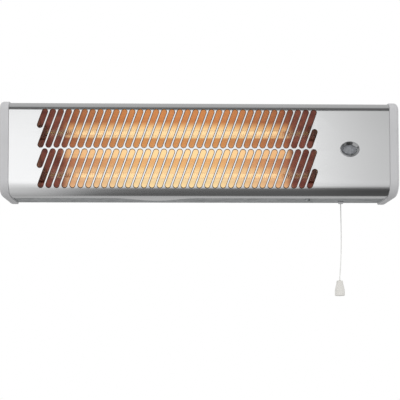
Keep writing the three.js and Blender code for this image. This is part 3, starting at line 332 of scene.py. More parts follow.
def chrome():
    n = Nodes("chrome")
    n.set(metallic=1.0)
    haze = n.noise(120, 3)
    n.colour(n.ramp(haze, shades((0.5, 0.505, 0.51), 0.02)))
    n.roughness(n.spread(haze, 0.06, 0.12))
    return n.material


def moulded(name, colour, rough, grain=900, depth=0.00004, cloud=0.03):
    """Moulded plastic: a fine spark-eroded grain, and a faint unevenness of colour."""
    n = Nodes(name)
    n.set(ior=1.46)
    n.colour(n.ramp(n.noise(18, 3), shades(colour, cloud)))
    n.roughness(n.spread(n.noise(60, 2), rough - 0.06, rough + 0.06))
    n.bump(n.noise(grain, 2), 0.25, depth)
    return n.material


def brass():
    n = Nodes("brass")
    n.set(metallic=1.0)
    stain = n.noise(160, 4)
    n.colour(n.ramp(stain, shades((0.72, 0.55, 0.25), 0.12)))
    n.roughness(n.spread(stain, 0.22, 0.42))
    return n.material


def ceramic():
    n = Nodes("ceramic")
    grit = n.noise(420, 4, 0.7)
    n.colour(n.ramp(grit, shades((0.24, 0.115, 0.09), 0.2)))
    n.roughness(n.spread(grit, 0.75, 0.95))
    n.bump(grit, 0.4, 0.0001)
    return n.material


def quartz():
    n = Nodes("quartz")
    n.set(ior=1.46, alpha=0.1)
    streaks = n.noise(1, 3, stretch=(20, 900, 900))
    n.colour(n.ramp(streaks, shades((0.9, 0.7, 0.48), 0.04)))
    n.roughness(n.spread(streaks, 0.04, 0.12))
    return n.material


HEAT_FADE = (24 * MM, 4 * MM)  # from a coil's end: where it starts to cool, and where it is dull


def hot_wire():
    """Resistance wire that glows, except at the coils' ends."""
    n = Nodes("hot_wire")
    n.set(roughness=0.7)
    x = n.xyz()[0]
    along = n.math("ABSOLUTE", n.math("SUBTRACT", x, chamber_middle))
    coil_half = (right_wall - left_wall) / 2 - COIL_MARGIN
    cooling, dull = HEAT_FADE
    heat = n.spread(along, 1, 0, coil_half - cooling, coil_half - dull, "SMOOTHSTEP")
    stops = [(0, (0.75, 0.2, 0.05)), (0.5, (1, 0.55, 0.2)), (1, (0.96, 0.74, 0.4))]
    n.colour(n.ramp(n.noise(300, 2), shades((0.4, 0.2, 0.1), 0.1)))
    n.link(n.ramp(heat, stops), n.shader.inputs["Emission Color"])
    n.link(n.spread(heat, 0.1, 1, 0, 1), n.shader.inputs["Emission Strength"])
    return n.material


# The reflector's painted light by height in millimetres: its colour in the middle, and near a
# coil's end.
# It is a painted reflection: an emission on both faces of the sheet that stands in for the tubes'
# images.
# The bright bands are where those images would be, and the ridge between the troughs is painted as
# lit from both sides.
GLOW = [
    (-57, (0.58, 0.45, 0.23), (0.46, 0.27, 0.14)),
    (-47, (0.76, 0.63, 0.34), (0.58, 0.34, 0.18)),
    (-36, (0.78, 0.64, 0.36), (0.60, 0.33, 0.17)),
    (-32, (0.98, 0.76, 0.44), (0.80, 0.45, 0.24)),
    (-18, (0.78, 0.58, 0.28), (0.50, 0.28, 0.14)),
    (-15, (0.68, 0.43, 0.19), (0.34, 0.14, 0.08)),
    (-5.7, (0.66, 0.36, 0.15), (0.32, 0.12, 0.07)),
    (-3.7, (0.93, 0.70, 0.36), (0.72, 0.42, 0.20)),
    (7, (0.93, 0.70, 0.36), (0.72, 0.42, 0.20)),
    (10, (0.50, 0.24, 0.085), (0.26, 0.095, 0.05)),
    (25.6, (0.50, 0.24, 0.085), (0.26, 0.09, 0.045)),
    (28.1, (0.90, 0.72, 0.38), (0.70, 0.42, 0.20)),
    (36.5, (0.94, 0.77, 0.43), (0.68, 0.42, 0.20)),
    (40, (0.85, 0.58, 0.27), (0.60, 0.30, 0.12)),
    (46, (0.44, 0.17, 0.06), (0.17, 0.055, 0.035)),
    (57, (0.43, 0.16, 0.05), (0.14, 0.045, 0.03)),
]
GLOW_STRENGTH = 0.86
# Dim patches of painted light past a coil's end.
GLOW_PAST_COIL = [(0.38, (0.1, 0.035, 0.03)), (0.62, (0.17, 0.06, 0.045))]
GLOW_FADE = 105 * MM  # the length over which it fades towards a coil's end
GLOW_EDGE = (-8 * MM, 6 * MM)  # from a coil's end: where the glow stops


def bright_aluminium():
    n = Nodes("bright_aluminium")
    n.set(metallic=1.0, emission_strength=GLOW_STRENGTH)
    rolled = n.noise(1, 3, stretch=(6, 700, 700))
    # The warm brown base colour is painted light from the glowing coils, not the aluminium's own
    # tone.
    n.colour(n.ramp(rolled, shades((0.3, 0.2, 0.15), 0.1)))
    n.roughness(n.spread(rolled, 0.28, 0.4))
    x, _, z = n.xyz()
    reach = half_height - REFLECTOR_MARGIN
    height = n.spread(z, 0, 1, -reach, reach)
    places = [(z_mm * MM + reach) / (2 * reach) for z_mm, _, _ in GLOW]
    full = n.ramp(height, [(at, row[1]) for at, row in zip(places, GLOW)])
    dim = n.ramp(height, [(at, row[2]) for at, row in zip(places, GLOW)])
    coil_low, coil_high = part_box("heating_coil_upper")
    off_middle = n.math("ABSOLUTE", n.math("SUBTRACT", x, (coil_low.x + coil_high.x) / 2))
    coil_half = (coil_high.x - coil_low.x) / 2
    deep = n.spread(off_middle, 1, 0, coil_half - GLOW_FADE, coil_half)
    lit = n.spread(off_middle, 1, 0, *(coil_half + edge for edge in GLOW_EDGE), "SMOOTHSTEP")
    # The painted reflection goes in as emission on both faces, fading towards a coil's end.
    patches = n.ramp(n.noise(70, 2), GLOW_PAST_COIL)
    glow = n.mixed(lit, patches, n.mixed(deep, dim, full))
    n.link(glow, n.shader.inputs["Emission Color"])
    return n.material


def lens_plastic():
    n = Nodes("lens")
    n.set(ior=1.49, alpha=0.75)
    mottle = n.noise(700, 3, 0.6)
    n.colour(n.ramp(mottle, shades((0.3, 0.31, 0.33), 0.4)))
    n.roughness(n.spread(mottle, 0.08, 0.2))
    n.bump(mottle, 0.5, 0.0002)
    return n.material


def braid():
    n = Nodes("white_cord")
    wave = n.add("ShaderNodeTexWave", wave_type="BANDS", bands_direction="DIAGONAL")
    wave.inputs["Scale"].default_value = 420
    wave.inputs["Distortion"].default_value = 1.5
    n.link(n.place, wave.inputs["Vector"])
    n.set(roughness=0.85)
    n.colour(n.ramp(wave.outputs["Fac"], [(0.1, (0.74, 0.74, 0.72)), (0.6, (0.86, 0.86, 0.84))]))
    n.bump(wave.outputs["Fac"], 0.2, 0.00003)
    return n.material


LOOKS = {
    "polished_steel": polished_steel(),
    "zinc_steel": zinc_steel(),
    "bright_aluminium": bright_aluminium(),
    "chrome": chrome(),
    "grey_plastic": moulded("grey_plastic", (0.53, 0.53, 0.54), 0.45),
    "white_plastic": moulded("white_plastic", (0.76, 0.745, 0.71), 0.4, 300, 0.000004, cloud=0.015),
    "black_plastic": moulded("black_plastic", (0.03, 0.03, 0.035), 0.5),
    "quartz": quartz(),
    "hot_wire": hot_wire(),
    "ceramic": ceramic(),
    "brass": brass(),
    "lens": lens_plastic(),
    "rubber": moulded("rubber", (0.025, 0.025, 0.025), 0.75, 600, 0.00008),
    "white_cord": braid(),
    "brown_sleeve": moulded("brown_sleeve", (0.2, 0.09, 0.04), 0.6, 1500),
    "blue_sleeve": moulded("blue_sleeve", (0.05, 0.15, 0.4), 0.6, 1500),
    "white_sleeve": moulded("white_sleeve", (0.75, 0.73, 0.68), 0.7, 1500),
}

# ---------------------------------------------------------------- mesh helpers


def placed(obj, body, slot):
    """An object with its finish, riding on its body."""
    obj.data.materials.clear()
    obj.data.materials.append(LOOKS[slot])
    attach(obj, body)
    return obj


def finished(name, bm, body, slot, sharp=35):
    """A piece from a bmesh, with its faces turned out and its hard edges kept."""
    bmesh.ops.recalc_face_normals(bm, faces=bm.faces)
    mesh = bpy.data.meshes.new(name)
    bm.to_mesh(mesh)
    bm.free()
    mesh.shade_smooth()
    mesh.set_sharp_from_angle(angle=math.radians(sharp))
    piece = bpy.data.objects.new(name, mesh)
    bpy.context.scene.collection.objects.link(piece)
    weigh_normals(piece)
    return placed(piece, body, slot)


def weigh_normals(piece):
    """Lets a large flat face set the shading of the corners that it shares with small ones."""
    modifier = piece.modifiers.new("normals", "WEIGHTED_NORMAL")
    modifier.keep_sharp = True


def settle(piece):
    """Makes what a piece's modifiers do part of its mesh."""
    graph = bpy.context.evaluated_depsgraph_get()
    made = bpy.data.meshes.new_from_object(piece.evaluated_get(graph))
    piece.modifiers.clear()
    piece.data = made


def add_loft(bm, rings, closed=False):
    """Joins rings of as many points each. An open loft gets a flat end at each end."""
    loops = [[bm.verts.new(p) for p in ring] for ring in rings]
    pairs = list(zip(loops, loops[1:] + loops[:1])) if closed else list(zip(loops, loops[1:]))
    count = len(loops[0])
    for a, b in pairs:
        for i in range(count):
            j = (i + 1) % count
            bm.faces.new((a[i], a[j], b[j], b[i]))
    if not closed:
        bm.faces.new(loops[0])
        bm.faces.new(reversed(loops[-1]))
    return bm


def along(axis, at, distance, a, b):
    """The point that lies so far along an axis through a place, and a and b to its sides."""
    offset = {"x": (distance, a, b), "y": (a, distance, b), "z": (a, b, distance)}[axis]
    return Vector(at) + Vector(offset)


def add_turned(bm, profile, axis, at, sides=48):
    """A profile of (radius, distance along the axis). One that ends on the axis is closed there."""
    rings = []
    for radius, distance in profile:
        turns = [2 * math.pi * i / sides for i in range(sides)]
        rings.append(
            [along(axis, at, distance, radius * math.cos(t), radius * math.sin(t)) for t in turns]
        )
    closed = profile[0] == profile[-1]
    return add_loft(bm, rings[:-1] if closed else rings, closed)


def arc(centre, radius, start, end, steps):
    """Points of an arc in a plane, from one angle to another, in degrees."""
    points = []
    for i in range(steps + 1):
        angle = math.radians(start + (end - start) * i / steps)
        points.append((centre[0] + radius * math.cos(angle), centre[1] + radius * math.sin(angle)))
    return points


MERGE_DISTANCE = 0.002 * MM
FLAT_ANGLE = math.radians(1)  # faces that meet at less than this become one


def refined(node, slot, rounding=0.3 * MM, segments=2, sharp=30):
    """A CAD node's own shape with its vertices joined, flat faces made whole and edges rounded."""
    source = frame["nodes"][node]
    bm = bmesh.new()
    bm.from_mesh(source.data)
    bmesh.ops.remove_doubles(bm, verts=bm.verts, dist=MERGE_DISTANCE)
    bmesh.ops.dissolve_limit(bm, angle_limit=FLAT_ANGLE, verts=bm.verts, edges=bm.edges)
    hard = [e for e in bm.edges if e.is_manifold and e.calc_face_angle(0) > math.radians(sharp)]
    bmesh.ops.bevel(
        bm,
        geom=hard,
        offset=rounding,
        segments=segments,
        profile=0.6,
        affect="EDGES",
        clamp_overlap=True,
    )
    piece = finished(f"{node}_piece", bm, source["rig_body"], slot)
    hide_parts(node)
    return piece


# ---------------------------------------------------------------- pull cord and knob

# The cord's route, as offsets in millimetres from the gland's mouth: to the right, and down.
CORD_ROUTE = [
    (0, 0), (0, 3), (0.02, 7), (0.06, 12), (0.14, 18), (0.25, 25), (0.35, 32), (0.41, 40),
    (0.42, 48), (0.36, 56), (0.22, 64), (0, 72), (-0.32, 80), (-0.72, 87), (-1.14, 93.5),
    (-1.52, 99), (-1.82, 103.4), (-2.02, 106.6), (-2.16, 109.1),
]
CORD_DIAMETER = 1.4 * MM

gland_mouth = middle("cord_gland")
gland_mouth.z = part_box("cord_gland")[0].z


def pull_knob():
    """A tapered knob with a rounded shoulder, a recess round the cord and a hollow underneath."""
    low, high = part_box("pull_knob")
    centre = (low + high) / 2
    height = high.z - low.z
    bottom = (high.x - low.x) / 2
    top = 4.5 * MM
    profile = [(0, 3.5 * MM), (bottom - 2.4 * MM, 3.5 * MM), (bottom - 2 * MM, 0.5 * MM)]
    profile += [(bottom - 1.4 * MM + r, z) for r, z in arc((0, 1.4 * MM), 1.4 * MM, -90, 0, 6)]
    profile += [
        (bottom, 6 * MM),
        (bottom - 0.25 * MM, 9 * MM),
        (bottom - 0.8 * MM, 12 * MM),
        (top + 0.9 * MM, 15.5 * MM),
        (top + 0.3 * MM, 18 * MM),
    ]
    profile += [(top - 1.6 * MM + r, z) for r, z in arc((0, height - 2.4 * MM), 1.7 * MM, 0, 90, 6)]
    profile += [(1.7 * MM, height - 0.75 * MM), (1.3 * MM, height - 0.2 * MM), (1.0 * MM, height)]
    profile += [(0, height)]
    bm = add_turned(bmesh.new(), profile, "z", (centre.x, centre.y, low.z))
    piece = finished("knob", bm, HANGING, "white_plastic", sharp=50)
    piece.visible_glossy = False
    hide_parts("pull_knob")
    return piece


def pull_cord(knob):
    curve = bpy.data.curves.new("cord", "CURVE")
    curve.dimensions = "3D"
    curve.bevel_depth = CORD_DIAMETER / 2
    curve.bevel_resolution = 4
    curve.use_fill_caps = True
    spline = curve.splines.new("BEZIER")
    spline.bezier_points.add(len(CORD_ROUTE) - 1)
    for point, (right, down) in zip(spline.bezier_points, CORD_ROUTE):
        point.co = gland_mouth + Vector((right * MM, 0, -down * MM))
        point.handle_left_type = point.handle_right_type = "AUTO"
    piece = bpy.data.objects.new("cord", curve)
    bpy.context.scene.collection.objects.link(piece)
    placed(piece, HANGING, "white_cord")
    piece.visible_glossy = False
    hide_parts("pull_cord")


pull_cord(pull_knob())

# ---------------------------------------------------------------- front cover


def bend_at(v):
    """The radius of the cover's bend at the top or the bottom, and the height where it starts."""
    radius = UPPER_BEND if v > 0 else LOWER_BEND
    return radius, half_height - radius


def on_cover(u, v, depth=0.0):
    """A point of the unrolled sheet: u along it, v up it from the middle, and a depth under it."""
    radius, start = bend_at(v)
    past = abs(v) - start
    if past <= 0:
        return Vector((u, front_y + depth, v))
    angle = min(past / radius, math.pi / 2)
    inner = radius - depth
    y = front_y + radius - inner * math.cos(angle) + max(past - radius * math.pi / 2, 0)
    return Vector((u, y, math.copysign(start + inner * math.sin(angle), v)))


def unrolled(z):
    """The place up the sheet that is seen at a height from the front."""
    radius, start = bend_at(z)
    past = abs(z) - start
    return z if past <= 0 else math.copysign(start + radius * math.asin(past / radius), z)


def seen(point):
    """A place on the unrolled sheet as it is seen from the front."""
    at = on_cover(point[0], point[1])
    return Vector((at.x, at.z))


def flange_edge(v):
    """How far up or down the sheet the top or bottom flange ends."""
    radius, start = bend_at(v)
    return math.copysign(start + radius * math.pi / 2 + FLANGE_DEPTH - radius, v)


def slot_lines():
    """The two ends of each slot's middle line, on the cover's face."""
    r = SLOT_WIDTH / 2
    row_top = half_height - SLOT_TOP_MARGIN
    row_bottom = -half_height + SLOT_BOTTOM_MARGIN
    row_height = (row_top - row_bottom - ROW_LAND) / 2
    span = right_wall - left_wall - 2 * SLOT_END_MARGIN
    gaps = round(span / SLOT_PITCH)
    first = chamber_middle - gaps * SLOT_PITCH / 2
    lines = []
    for top in (row_top, row_bottom + row_height):
        bottom = top - row_height
        for line in range(-1, gaps + 2):
            high = bottom + SHORT_SLOT - r if line > gaps else top - r
            low = top - SHORT_SLOT + r if line < 0 else bottom + r
            foot = first + line * SLOT_PITCH
            rise = math.tan(SLOT_LEAN)
            lines.append([(foot + (z - (top + bottom) / 2) * rise, z) for z in (high, low)])
    return lines


def slot_outline(line, radius, steps=12):
    """The outline of a slot, so far from its middle line."""
    top, bottom = line
    lean = math.degrees(math.atan2(top[1] - bottom[1], top[0] - bottom[0]))
    upper_end = arc(top, radius, lean - 90, lean + 90, steps)
    return upper_end + arc(bottom, radius, lean + 90, lean + 270, steps)


def nearest_on(line, point):
    """The place on a slot's middle line that is nearest to a point."""
    a, b = Vector(line[0]), Vector(line[1])
    t = max(0, min(1, (Vector(point) - a).dot(b - a) / (b - a).length_squared))
    return a + (b - a) * t


def tongue_reach(u):
    """How far the bottom flange's tongue reaches past the flange's edge."""
    across = (u - TONGUE_MIDDLE) / TONGUE_WIDTH + 0.5
    return tongue_depth * (1 - math.cos(2 * math.pi * across)) / 2 if 0 < across < 1 else 0.0


BEND_ROWS = 12
PILOT_STEPS = 64
TONGUE_STEPS = 48
PILOT_HOLE = (24 * MM, 18 * MM)
pilot_centre = middle("pilot_bezel")


def cover_sheet():
    """The unrolled sheet as triangles, with a hole for each slot and for the pilot light."""
    lines = slot_lines()
    outlines = [slot_outline(line, SLOT_WIDTH / 2 + LIP) for line in lines]
    loops = [[(x, unrolled(z)) for x, z in outline] for outline in outlines]
    turns = [2 * math.pi * i / PILOT_STEPS for i in range(PILOT_STEPS)]
    half_width, half_tall = (size / 2 for size in PILOT_HOLE)
    pilot = [
        (pilot_centre.x + half_width * math.cos(t), pilot_centre.z + half_tall * math.sin(t))
        for t in turns
    ]
    shares = [i / TONGUE_STEPS for i in range(TONGUE_STEPS + 1)]
    bottom_edge = [TONGUE_MIDDLE + TONGUE_WIDTH * (share - 0.5) for share in shares]
    top, bottom = flange_edge(1), flange_edge(-1)
    outline = [(-cover_end, top), (-cover_end, bottom)]
    outline += [(u, bottom - tongue_reach(u)) for u in bottom_edge]
    outline += [(cover_end, bottom), (cover_end, top)]
    points, edges = [], []

    def add(line):
        start = len(points)
        points.extend(Vector(p) for p in line)
        return list(range(start, len(points)))

    for k in range(BEND_ROWS + 1):
        for level in (1, -1):
            radius, start = bend_at(level)
            v = level * (start + radius * math.pi / 2 * k / BEND_ROWS)
            edges.append(add([(-cover_end, v), (cover_end, v)]))
    areas = [add(loop) for loop in [outline, pilot] + loops]
    made, _, faces, _, _, within = delaunay_2d_cdt(points, edges, areas, 0, 1e-7)
    bm = bmesh.new()
    bm.verts.layers.float.new("edge")
    verts = [bm.verts.new((p.x, p.y, 0)) for p in made]
    for face, inside in zip(faces, within):
        if list(inside) == [0]:  # in the outline, and in no hole
            bm.faces.new([verts[i] for i in face])
    bmesh.ops.delete(bm, geom=[v for v in bm.verts if not v.link_faces], context="VERTS")
    return bm, lines


LIP_STEPS = 4
LIP_DROP = 0.4 * MM  # straight wall below the rolled edge
RIM_TOLERANCE = 0.12 * MM  # how exactly a boundary vertex lies on a slot's outline


def front_cover():
    """The bent sheet, with each slot's edge rolled inwards and marked for the painted rim shade."""
    bm, lines = cover_sheet()
    rims = [e for e in bm.edges if e.is_boundary]
    home = {}
    for v in dict.fromkeys(v for e in rims for v in e.verts):
        p = seen(v.co)
        best = min(lines, key=lambda line: (p - nearest_on(line, p)).length)
        foot = nearest_on(best, p)
        if abs((p - foot).length - SLOT_WIDTH / 2 - LIP) < RIM_TOLERANCE:
            home[v] = (foot, (foot - p).normalized())
    steps = [math.pi / 2 * (k + 1) / LIP_STEPS for k in range(LIP_STEPS)]
    profile = [(LIP * math.sin(a), LIP * (1 - math.cos(a))) for a in steps]
    profile.append((LIP, LIP + LIP_DROP))
    rims = [e for e in rims if all(v in home for v in e.verts)]
    current = {v: v for v in home}
    # The edge mark is where the steel takes its painted shade and dark reflection.
    mark = bm.verts.layers.float["edge"]
    for inward, depth in profile:
        following = {}
        for v, (foot, direction) in home.items():
            p = seen(v.co) + direction * inward
            following[v] = bm.verts.new((p.x, unrolled(p.y), depth))
            following[v][mark] = 1
        for edge in rims:
            a, b = edge.verts
            bm.faces.new((current[a], current[b], following[b], following[a]))
        current = following
    for v in bm.verts:
        v.co = on_cover(*v.co)
    piece = finished("cover", bm, HEATER, "polished_steel")
    piece.modifiers.clear()
    thick = piece.modifiers.new("sheet", "SOLIDIFY")
    thick.thickness = SHEET
    thick.offset = -1
    settle(piece)
    piece.data.set_sharp_from_angle(angle=math.radians(40))
    weigh_normals(piece)
    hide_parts("front_cover")


front_cover()

# ---------------------------------------------------------------- end caps


CORNER_STEPS = 10
RIM_ROUND = 0.5 * MM
RIM_STEPS = 3
SPIGOT_CORNER = 1.9 * MM
LEAST_CORNER = 0.4 * MM
CAP_FLOOR = 2 * MM  # from the seam to the step inside the cap


def body_section(x, y0, y1, half, upper, lower, rear, steps=CORNER_STEPS):
    """A ring in the plane of x: a rectangle with rounded front and rear corners."""
    corners = [
        ((y0 + lower, -half + lower), lower, 270, 180),
        ((y0 + upper, half - upper), upper, 180, 90),
        ((y1 - rear, half - rear), rear, 90, 0),
        ((y1 - rear, -half + rear), rear, 0, -90),
    ]
    return [Vector((x, y, z)) for corner in corners for y, z in arc(*corner, steps)]


def cap_ring(x, grow):
    """A ring of the cap's outside, which stands so far out from the body."""
    radii = [radius + grow for radius in (UPPER_BEND, LOWER_BEND, CAP_REAR_RADIUS)]
    return body_section(x, front_y - grow, housing_high.y + grow, half_height + grow, *radii)


def inside_ring(x, shrink):
    """A ring that fits inside the body, so much smaller than its hollow."""
    radii = [radius - 2 * (SHEET + FIT) - shrink for radius in (UPPER_BEND, LOWER_BEND)]
    return body_section(
        x,
        front_y + SHEET + FIT + shrink,
        inner_back_y - FIT - shrink,
        inner_half - FIT - shrink,
        *radii,
        max(SPIGOT_CORNER - shrink, LEAST_CORNER),
    )


def end_cap(side, node):
    """A hollow cap: domed outside, with a rolled rim at the seam and a spigot inside the body."""
    seam = cover_end + FIT
    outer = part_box(node)[1].x if side > 0 else -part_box(node)[0].x
    rings = []
    for k in range(CORNER_STEPS + 1):
        angle = math.pi / 2 * k / CORNER_STEPS
        x = outer - CAP_ROUND * (1 - math.cos(angle))
        rings.append(cap_ring(x, CAP_PROUD - CAP_ROUND * (1 - math.sin(angle))))
    for k in range(RIM_STEPS + 1):
        angle = math.pi / 2 * k / RIM_STEPS
        x = seam + RIM_ROUND * (1 - math.sin(angle))
        rings.append(cap_ring(x, CAP_PROUD - RIM_ROUND * (1 - math.cos(angle))))
    rings.append(inside_ring(seam, 0))
    rings.append(inside_ring(seam - SPIGOT_LENGTH, 0))
    rings.append(inside_ring(seam - SPIGOT_LENGTH, SPIGOT_WALL))
    rings.append(inside_ring(seam + CAP_FLOOR, SPIGOT_WALL))
    rings.append(cap_ring(outer - CAP_WALL, CAP_PROUD - CAP_ROUND))
    rings = [[Vector((side * p.x, p.y, p.z)) for p in ring] for ring in rings]
    bm = add_loft(bmesh.new(), rings)
    piece = finished(f"{node}_piece", bm, HEATER, "grey_plastic", sharp=50)
    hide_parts(node)


end_cap(-1, "left_end_cap")
end_cap(1, "right_end_cap")

# ---------------------------------------------------------------- reflector, tubes and coils

REFLECTOR_SHEET = 0.6 * MM
REFLECTOR_DEPTH = 60 * MM
REFLECTOR_RIDGE = 42 * MM
REFLECTOR_LIP = 14 * MM
REFLECTOR_STEPS = 28
TUBE_Z = 30 * MM


def reflector():
    """Two troughs side by side, with a ridge between them and a lip at each edge."""
    lip_z = half_height - REFLECTOR_MARGIN
    heights = [lip_z * (i / REFLECTOR_STEPS) for i in range(REFLECTOR_STEPS + 1)]

    def depth_at(z):
        outside = z > TUBE_Z
        reach = lip_z - TUBE_Z if outside else TUBE_Z
        rise = REFLECTOR_DEPTH - (REFLECTOR_LIP if outside else REFLECTOR_RIDGE)
        return REFLECTOR_DEPTH - rise * ((z - TUBE_Z) / reach) ** 2

    upper = [Vector((0, front_y + depth_at(z), z)) for z in heights]
    front = [Vector((0, p.y, -p.z)) for p in reversed(upper[1:])] + upper
    rear = []
    for i, p in enumerate(front):
        tangent = front[min(i + 1, len(front) - 1)] - front[max(i - 1, 0)]
        normal = Vector((0, tangent.z, -tangent.y)).normalized()
        rear.append(p + normal * REFLECTOR_SHEET)
    outline = front + rear[::-1]
    ends = [left_wall + FIT, right_wall - FIT]
    bm = add_loft(bmesh.new(), [[Vector((x, p.y, p.z)) for p in outline] for x in ends])
    piece = finished("reflector_piece", bm, HEATER, "bright_aluminium", sharp=40)
    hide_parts("reflector")


COIL_STEPS = 14  # in a turn
COIL_SIDES = 6


def heating_coil(node, tube):
    """A close helix of resistance wire along the tube's axis."""
    low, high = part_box(node)
    centre = middle(tube)
    wire = COIL_WIRE / 2
    radius = (high.z - low.z - COIL_WIRE) / 2
    steps = COIL_TURNS * COIL_STEPS
    length = high.x - low.x - COIL_WIRE
    rings = []
    for i in range(steps + 1):
        angle = 2 * math.pi * i / COIL_STEPS
        out = Vector((0, math.cos(angle), math.sin(angle)))
        at = Vector((low.x + wire + length * i / steps, centre.y, centre.z)) + out * radius
        ring = []
        for k in range(COIL_SIDES):
            around = 2 * math.pi * k / COIL_SIDES
            sideways = Vector((wire * math.sin(around), 0, 0))
            ring.append(at + out * (wire * math.cos(around)) + sideways)
        rings.append(ring)
    bm = add_loft(bmesh.new(), rings)
    piece = finished(f"{node}_piece", bm, HEATER, "hot_wire", sharp=70)
    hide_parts(node)


TUBE_SIDES = 40
TUBE_EDGE = 0.3 * MM


def quartz_tube(node):
    """An open tube with a small chamfer round each end."""
    low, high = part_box(node)
    centre = middle(node)
    outer = (high.z - low.z) / 2
    bore = outer - TUBE_WALL
    profile = [
        (bore, low.x),
        (outer - TUBE_EDGE, low.x),
        (outer, low.x + TUBE_EDGE),
        (outer, high.x - TUBE_EDGE),
        (outer - TUBE_EDGE, high.x),
        (bore, high.x),
        (bore, low.x),
    ]
    bm = add_turned(bmesh.new(), profile, "x", (0, centre.y, centre.z), TUBE_SIDES)
    piece = finished(f"{node}_piece", bm, HEATER, "quartz")
    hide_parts(node)


reflector()
for level in ("upper", "lower"):
    heating_coil(f"heating_coil_{level}", f"quartz_tube_{level}")
    quartz_tube(f"quartz_tube_{level}")
    for side in ("left", "right"):
        refined(f"ceramic_holder_{side}_{level}", "ceramic", 0.6 * MM, 3)
        refined(f"coil_lead_{side}_{level}", "brass", 0.1 * MM)

# ---------------------------------------------------------------- pilot light


OVAL_SIDES = 72


def oval(depth, width, height):
    """A ring round the pilot light's middle, so far behind the cover's face."""
    centre = Vector((pilot_centre.x, front_y + depth, pilot_centre.z))
    turns = [2 * math.pi * i / OVAL_SIDES for i in range(OVAL_SIDES)]
    return [
        centre + Vector((width / 2 * math.cos(t), 0, height / 2 * math.sin(t))) for t in turns
    ]


BEZEL_OUTER = (26.8 * MM, 21.2 * MM)
BEZEL_WINDOW = (19.5 * MM, 12 * MM)
BEZEL_SKIRT = (23.4 * MM, 17.4 * MM)
BEZEL_CREST = 2 * MM
LENS_SEAT = 2.2 * MM
SKIRT_DEPTH = 10 * MM
LENS_SIZE = (20.8 * MM, 14 * MM)
LENS_DOME = 0.8 * MM
EDGE_GAP = 0.02 * MM  # keeps rings that would share a plane a little apart


def pilot_bezel():
    """An oval ring with a rounded crest that dips to its window, and a skirt through the cover."""

    def between(k):
        return [o + (w - o) * k for o, w in zip(BEZEL_OUTER, BEZEL_WINDOW)]

    seat = [size + 2 * FIT for size in LENS_SIZE]
    crest = [(-FIT, between(0))]
    for k in range(1, 7):
        angle = math.pi * k / 9
        rise = BEZEL_CREST * math.sin(angle) ** 0.7
        crest.append((-FIT - rise, between(0.35 * (1 - math.cos(angle)) / 2)))
    crest += [(-FIT - 0.5 * MM, between(0.5)), (LENS_SEAT - 1.2 * MM, between(0.92))]
    crest += [(LENS_SEAT - 0.9 * MM, BEZEL_WINDOW), (LENS_SEAT - FIT, BEZEL_WINDOW)]
    crest += [(LENS_SEAT - FIT + EDGE_GAP, seat), (SKIRT_DEPTH, seat), (SKIRT_DEPTH, BEZEL_SKIRT)]
    crest += [(-FIT + EDGE_GAP, BEZEL_SKIRT)]
    bm = add_loft(bmesh.new(), [oval(depth, *size) for depth, size in crest], closed=True)
    piece = finished("bezel", bm, HEATER, "chrome", sharp=50)
    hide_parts("pilot_bezel")


def pilot_lens():
    """A shallow oval dome with a flange under the bezel's window."""
    rings = [(LENS_SEAT + 2 * MM, 1.0), (LENS_SEAT, 1.0), (LENS_SEAT, 0.86)]
    for k in range(1, 8):
        angle = math.pi / 2 * k / 8
        rings.append((LENS_SEAT - LENS_DOME * math.sin(angle), 0.84 * math.cos(angle)))
    ovals = [oval(depth, *(size * k for size in LENS_SIZE)) for depth, k in rings]
    bm = add_loft(bmesh.new(), ovals)
    piece = finished("pilot_lens_piece", bm, HEATER, "lens", sharp=50)
    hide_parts("pilot_lens")


pilot_bezel()
pilot_lens()
refined("pilot_lamp_holder", "black_plastic")
refined("pilot_lamp", "quartz", 0.1 * MM)

# ---------------------------------------------------------------- screws


HEAD_HEIGHT = 2 * MM
SHANK_RADIUS = 1.3 * MM
THREAD_DEPTH = 0.25 * MM
THREAD_PITCH = 0.6 * MM
POINT = 0.4 * MM  # chamfer at the shank's end
SCREW_SIDES = 32


def screw(node, slot, axis, out):
    """A screw in place of its plain CAD solid: a domed head with a cross recess, and a shank."""
    low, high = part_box(node)
    index = "xyz".index(axis)
    centre = (low + high) / 2
    others = [i for i in range(3) if i != index]
    radius = max(high[i] - low[i] for i in others) / 2
    length = high[index] - low[index]
    height = min(HEAD_HEIGHT, length * 0.3)
    reach = length - height
    seat = (high[index] if out > 0 else low[index]) - out * height
    at = list(centre)
    at[index] = seat
    profile = [(0, -reach), (SHANK_RADIUS - POINT, -reach)]
    turns = max(2, int(reach / THREAD_PITCH))
    for k in range(turns):
        z = -reach + POINT + (reach - 0.5 * MM) * k / turns
        profile += [(SHANK_RADIUS - THREAD_DEPTH, z), (SHANK_RADIUS, z + THREAD_DEPTH)]
    profile += [(SHANK_RADIUS, 0), (radius, 0), (radius, height * 0.4)]
    for k in range(1, 6):
        a = math.pi / 2 * k / 6
        profile.append((radius * (0.5 + 0.5 * math.cos(a)), height * (0.4 + 0.6 * math.sin(a))))
    profile += [(radius * 0.5, height), (0, height)]
    bm = add_turned(bmesh.new(), [(r, out * h) for r, h in profile], axis, at, SCREW_SIDES)
    piece = finished(f"{node}_piece", bm, frame["nodes"][node]["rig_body"], slot, sharp=40)
    recess = bmesh.new()
    for k in range(2):
        size = [radius * 0.26] * 3
        size[others[k]] = radius * 1.1
        size[index] = height * 1.1
        place = Vector(at)
        place[index] += out * height
        bar = Matrix.Translation(place) @ Matrix.Diagonal((*size, 1))
        bmesh.ops.create_cube(recess, size=1, matrix=bar)
    carve(piece, recess)
    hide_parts(node)


def carve(piece, bm):
    """Cuts a bmesh's solids out of a piece."""
    mesh = bpy.data.meshes.new("cutter")
    bm.to_mesh(mesh)
    bm.free()
    cutter = bpy.data.objects.new("cutter", mesh)
    bpy.context.scene.collection.objects.link(cutter)
    modifier = piece.modifiers.new("carve", "BOOLEAN")
    modifier.operation = "DIFFERENCE"
    modifier.object = cutter
    modifier.solver = "EXACT"
    modifier.use_self = True
    settle(piece)
    weigh_normals(piece)
    bpy.data.objects.remove(cutter)


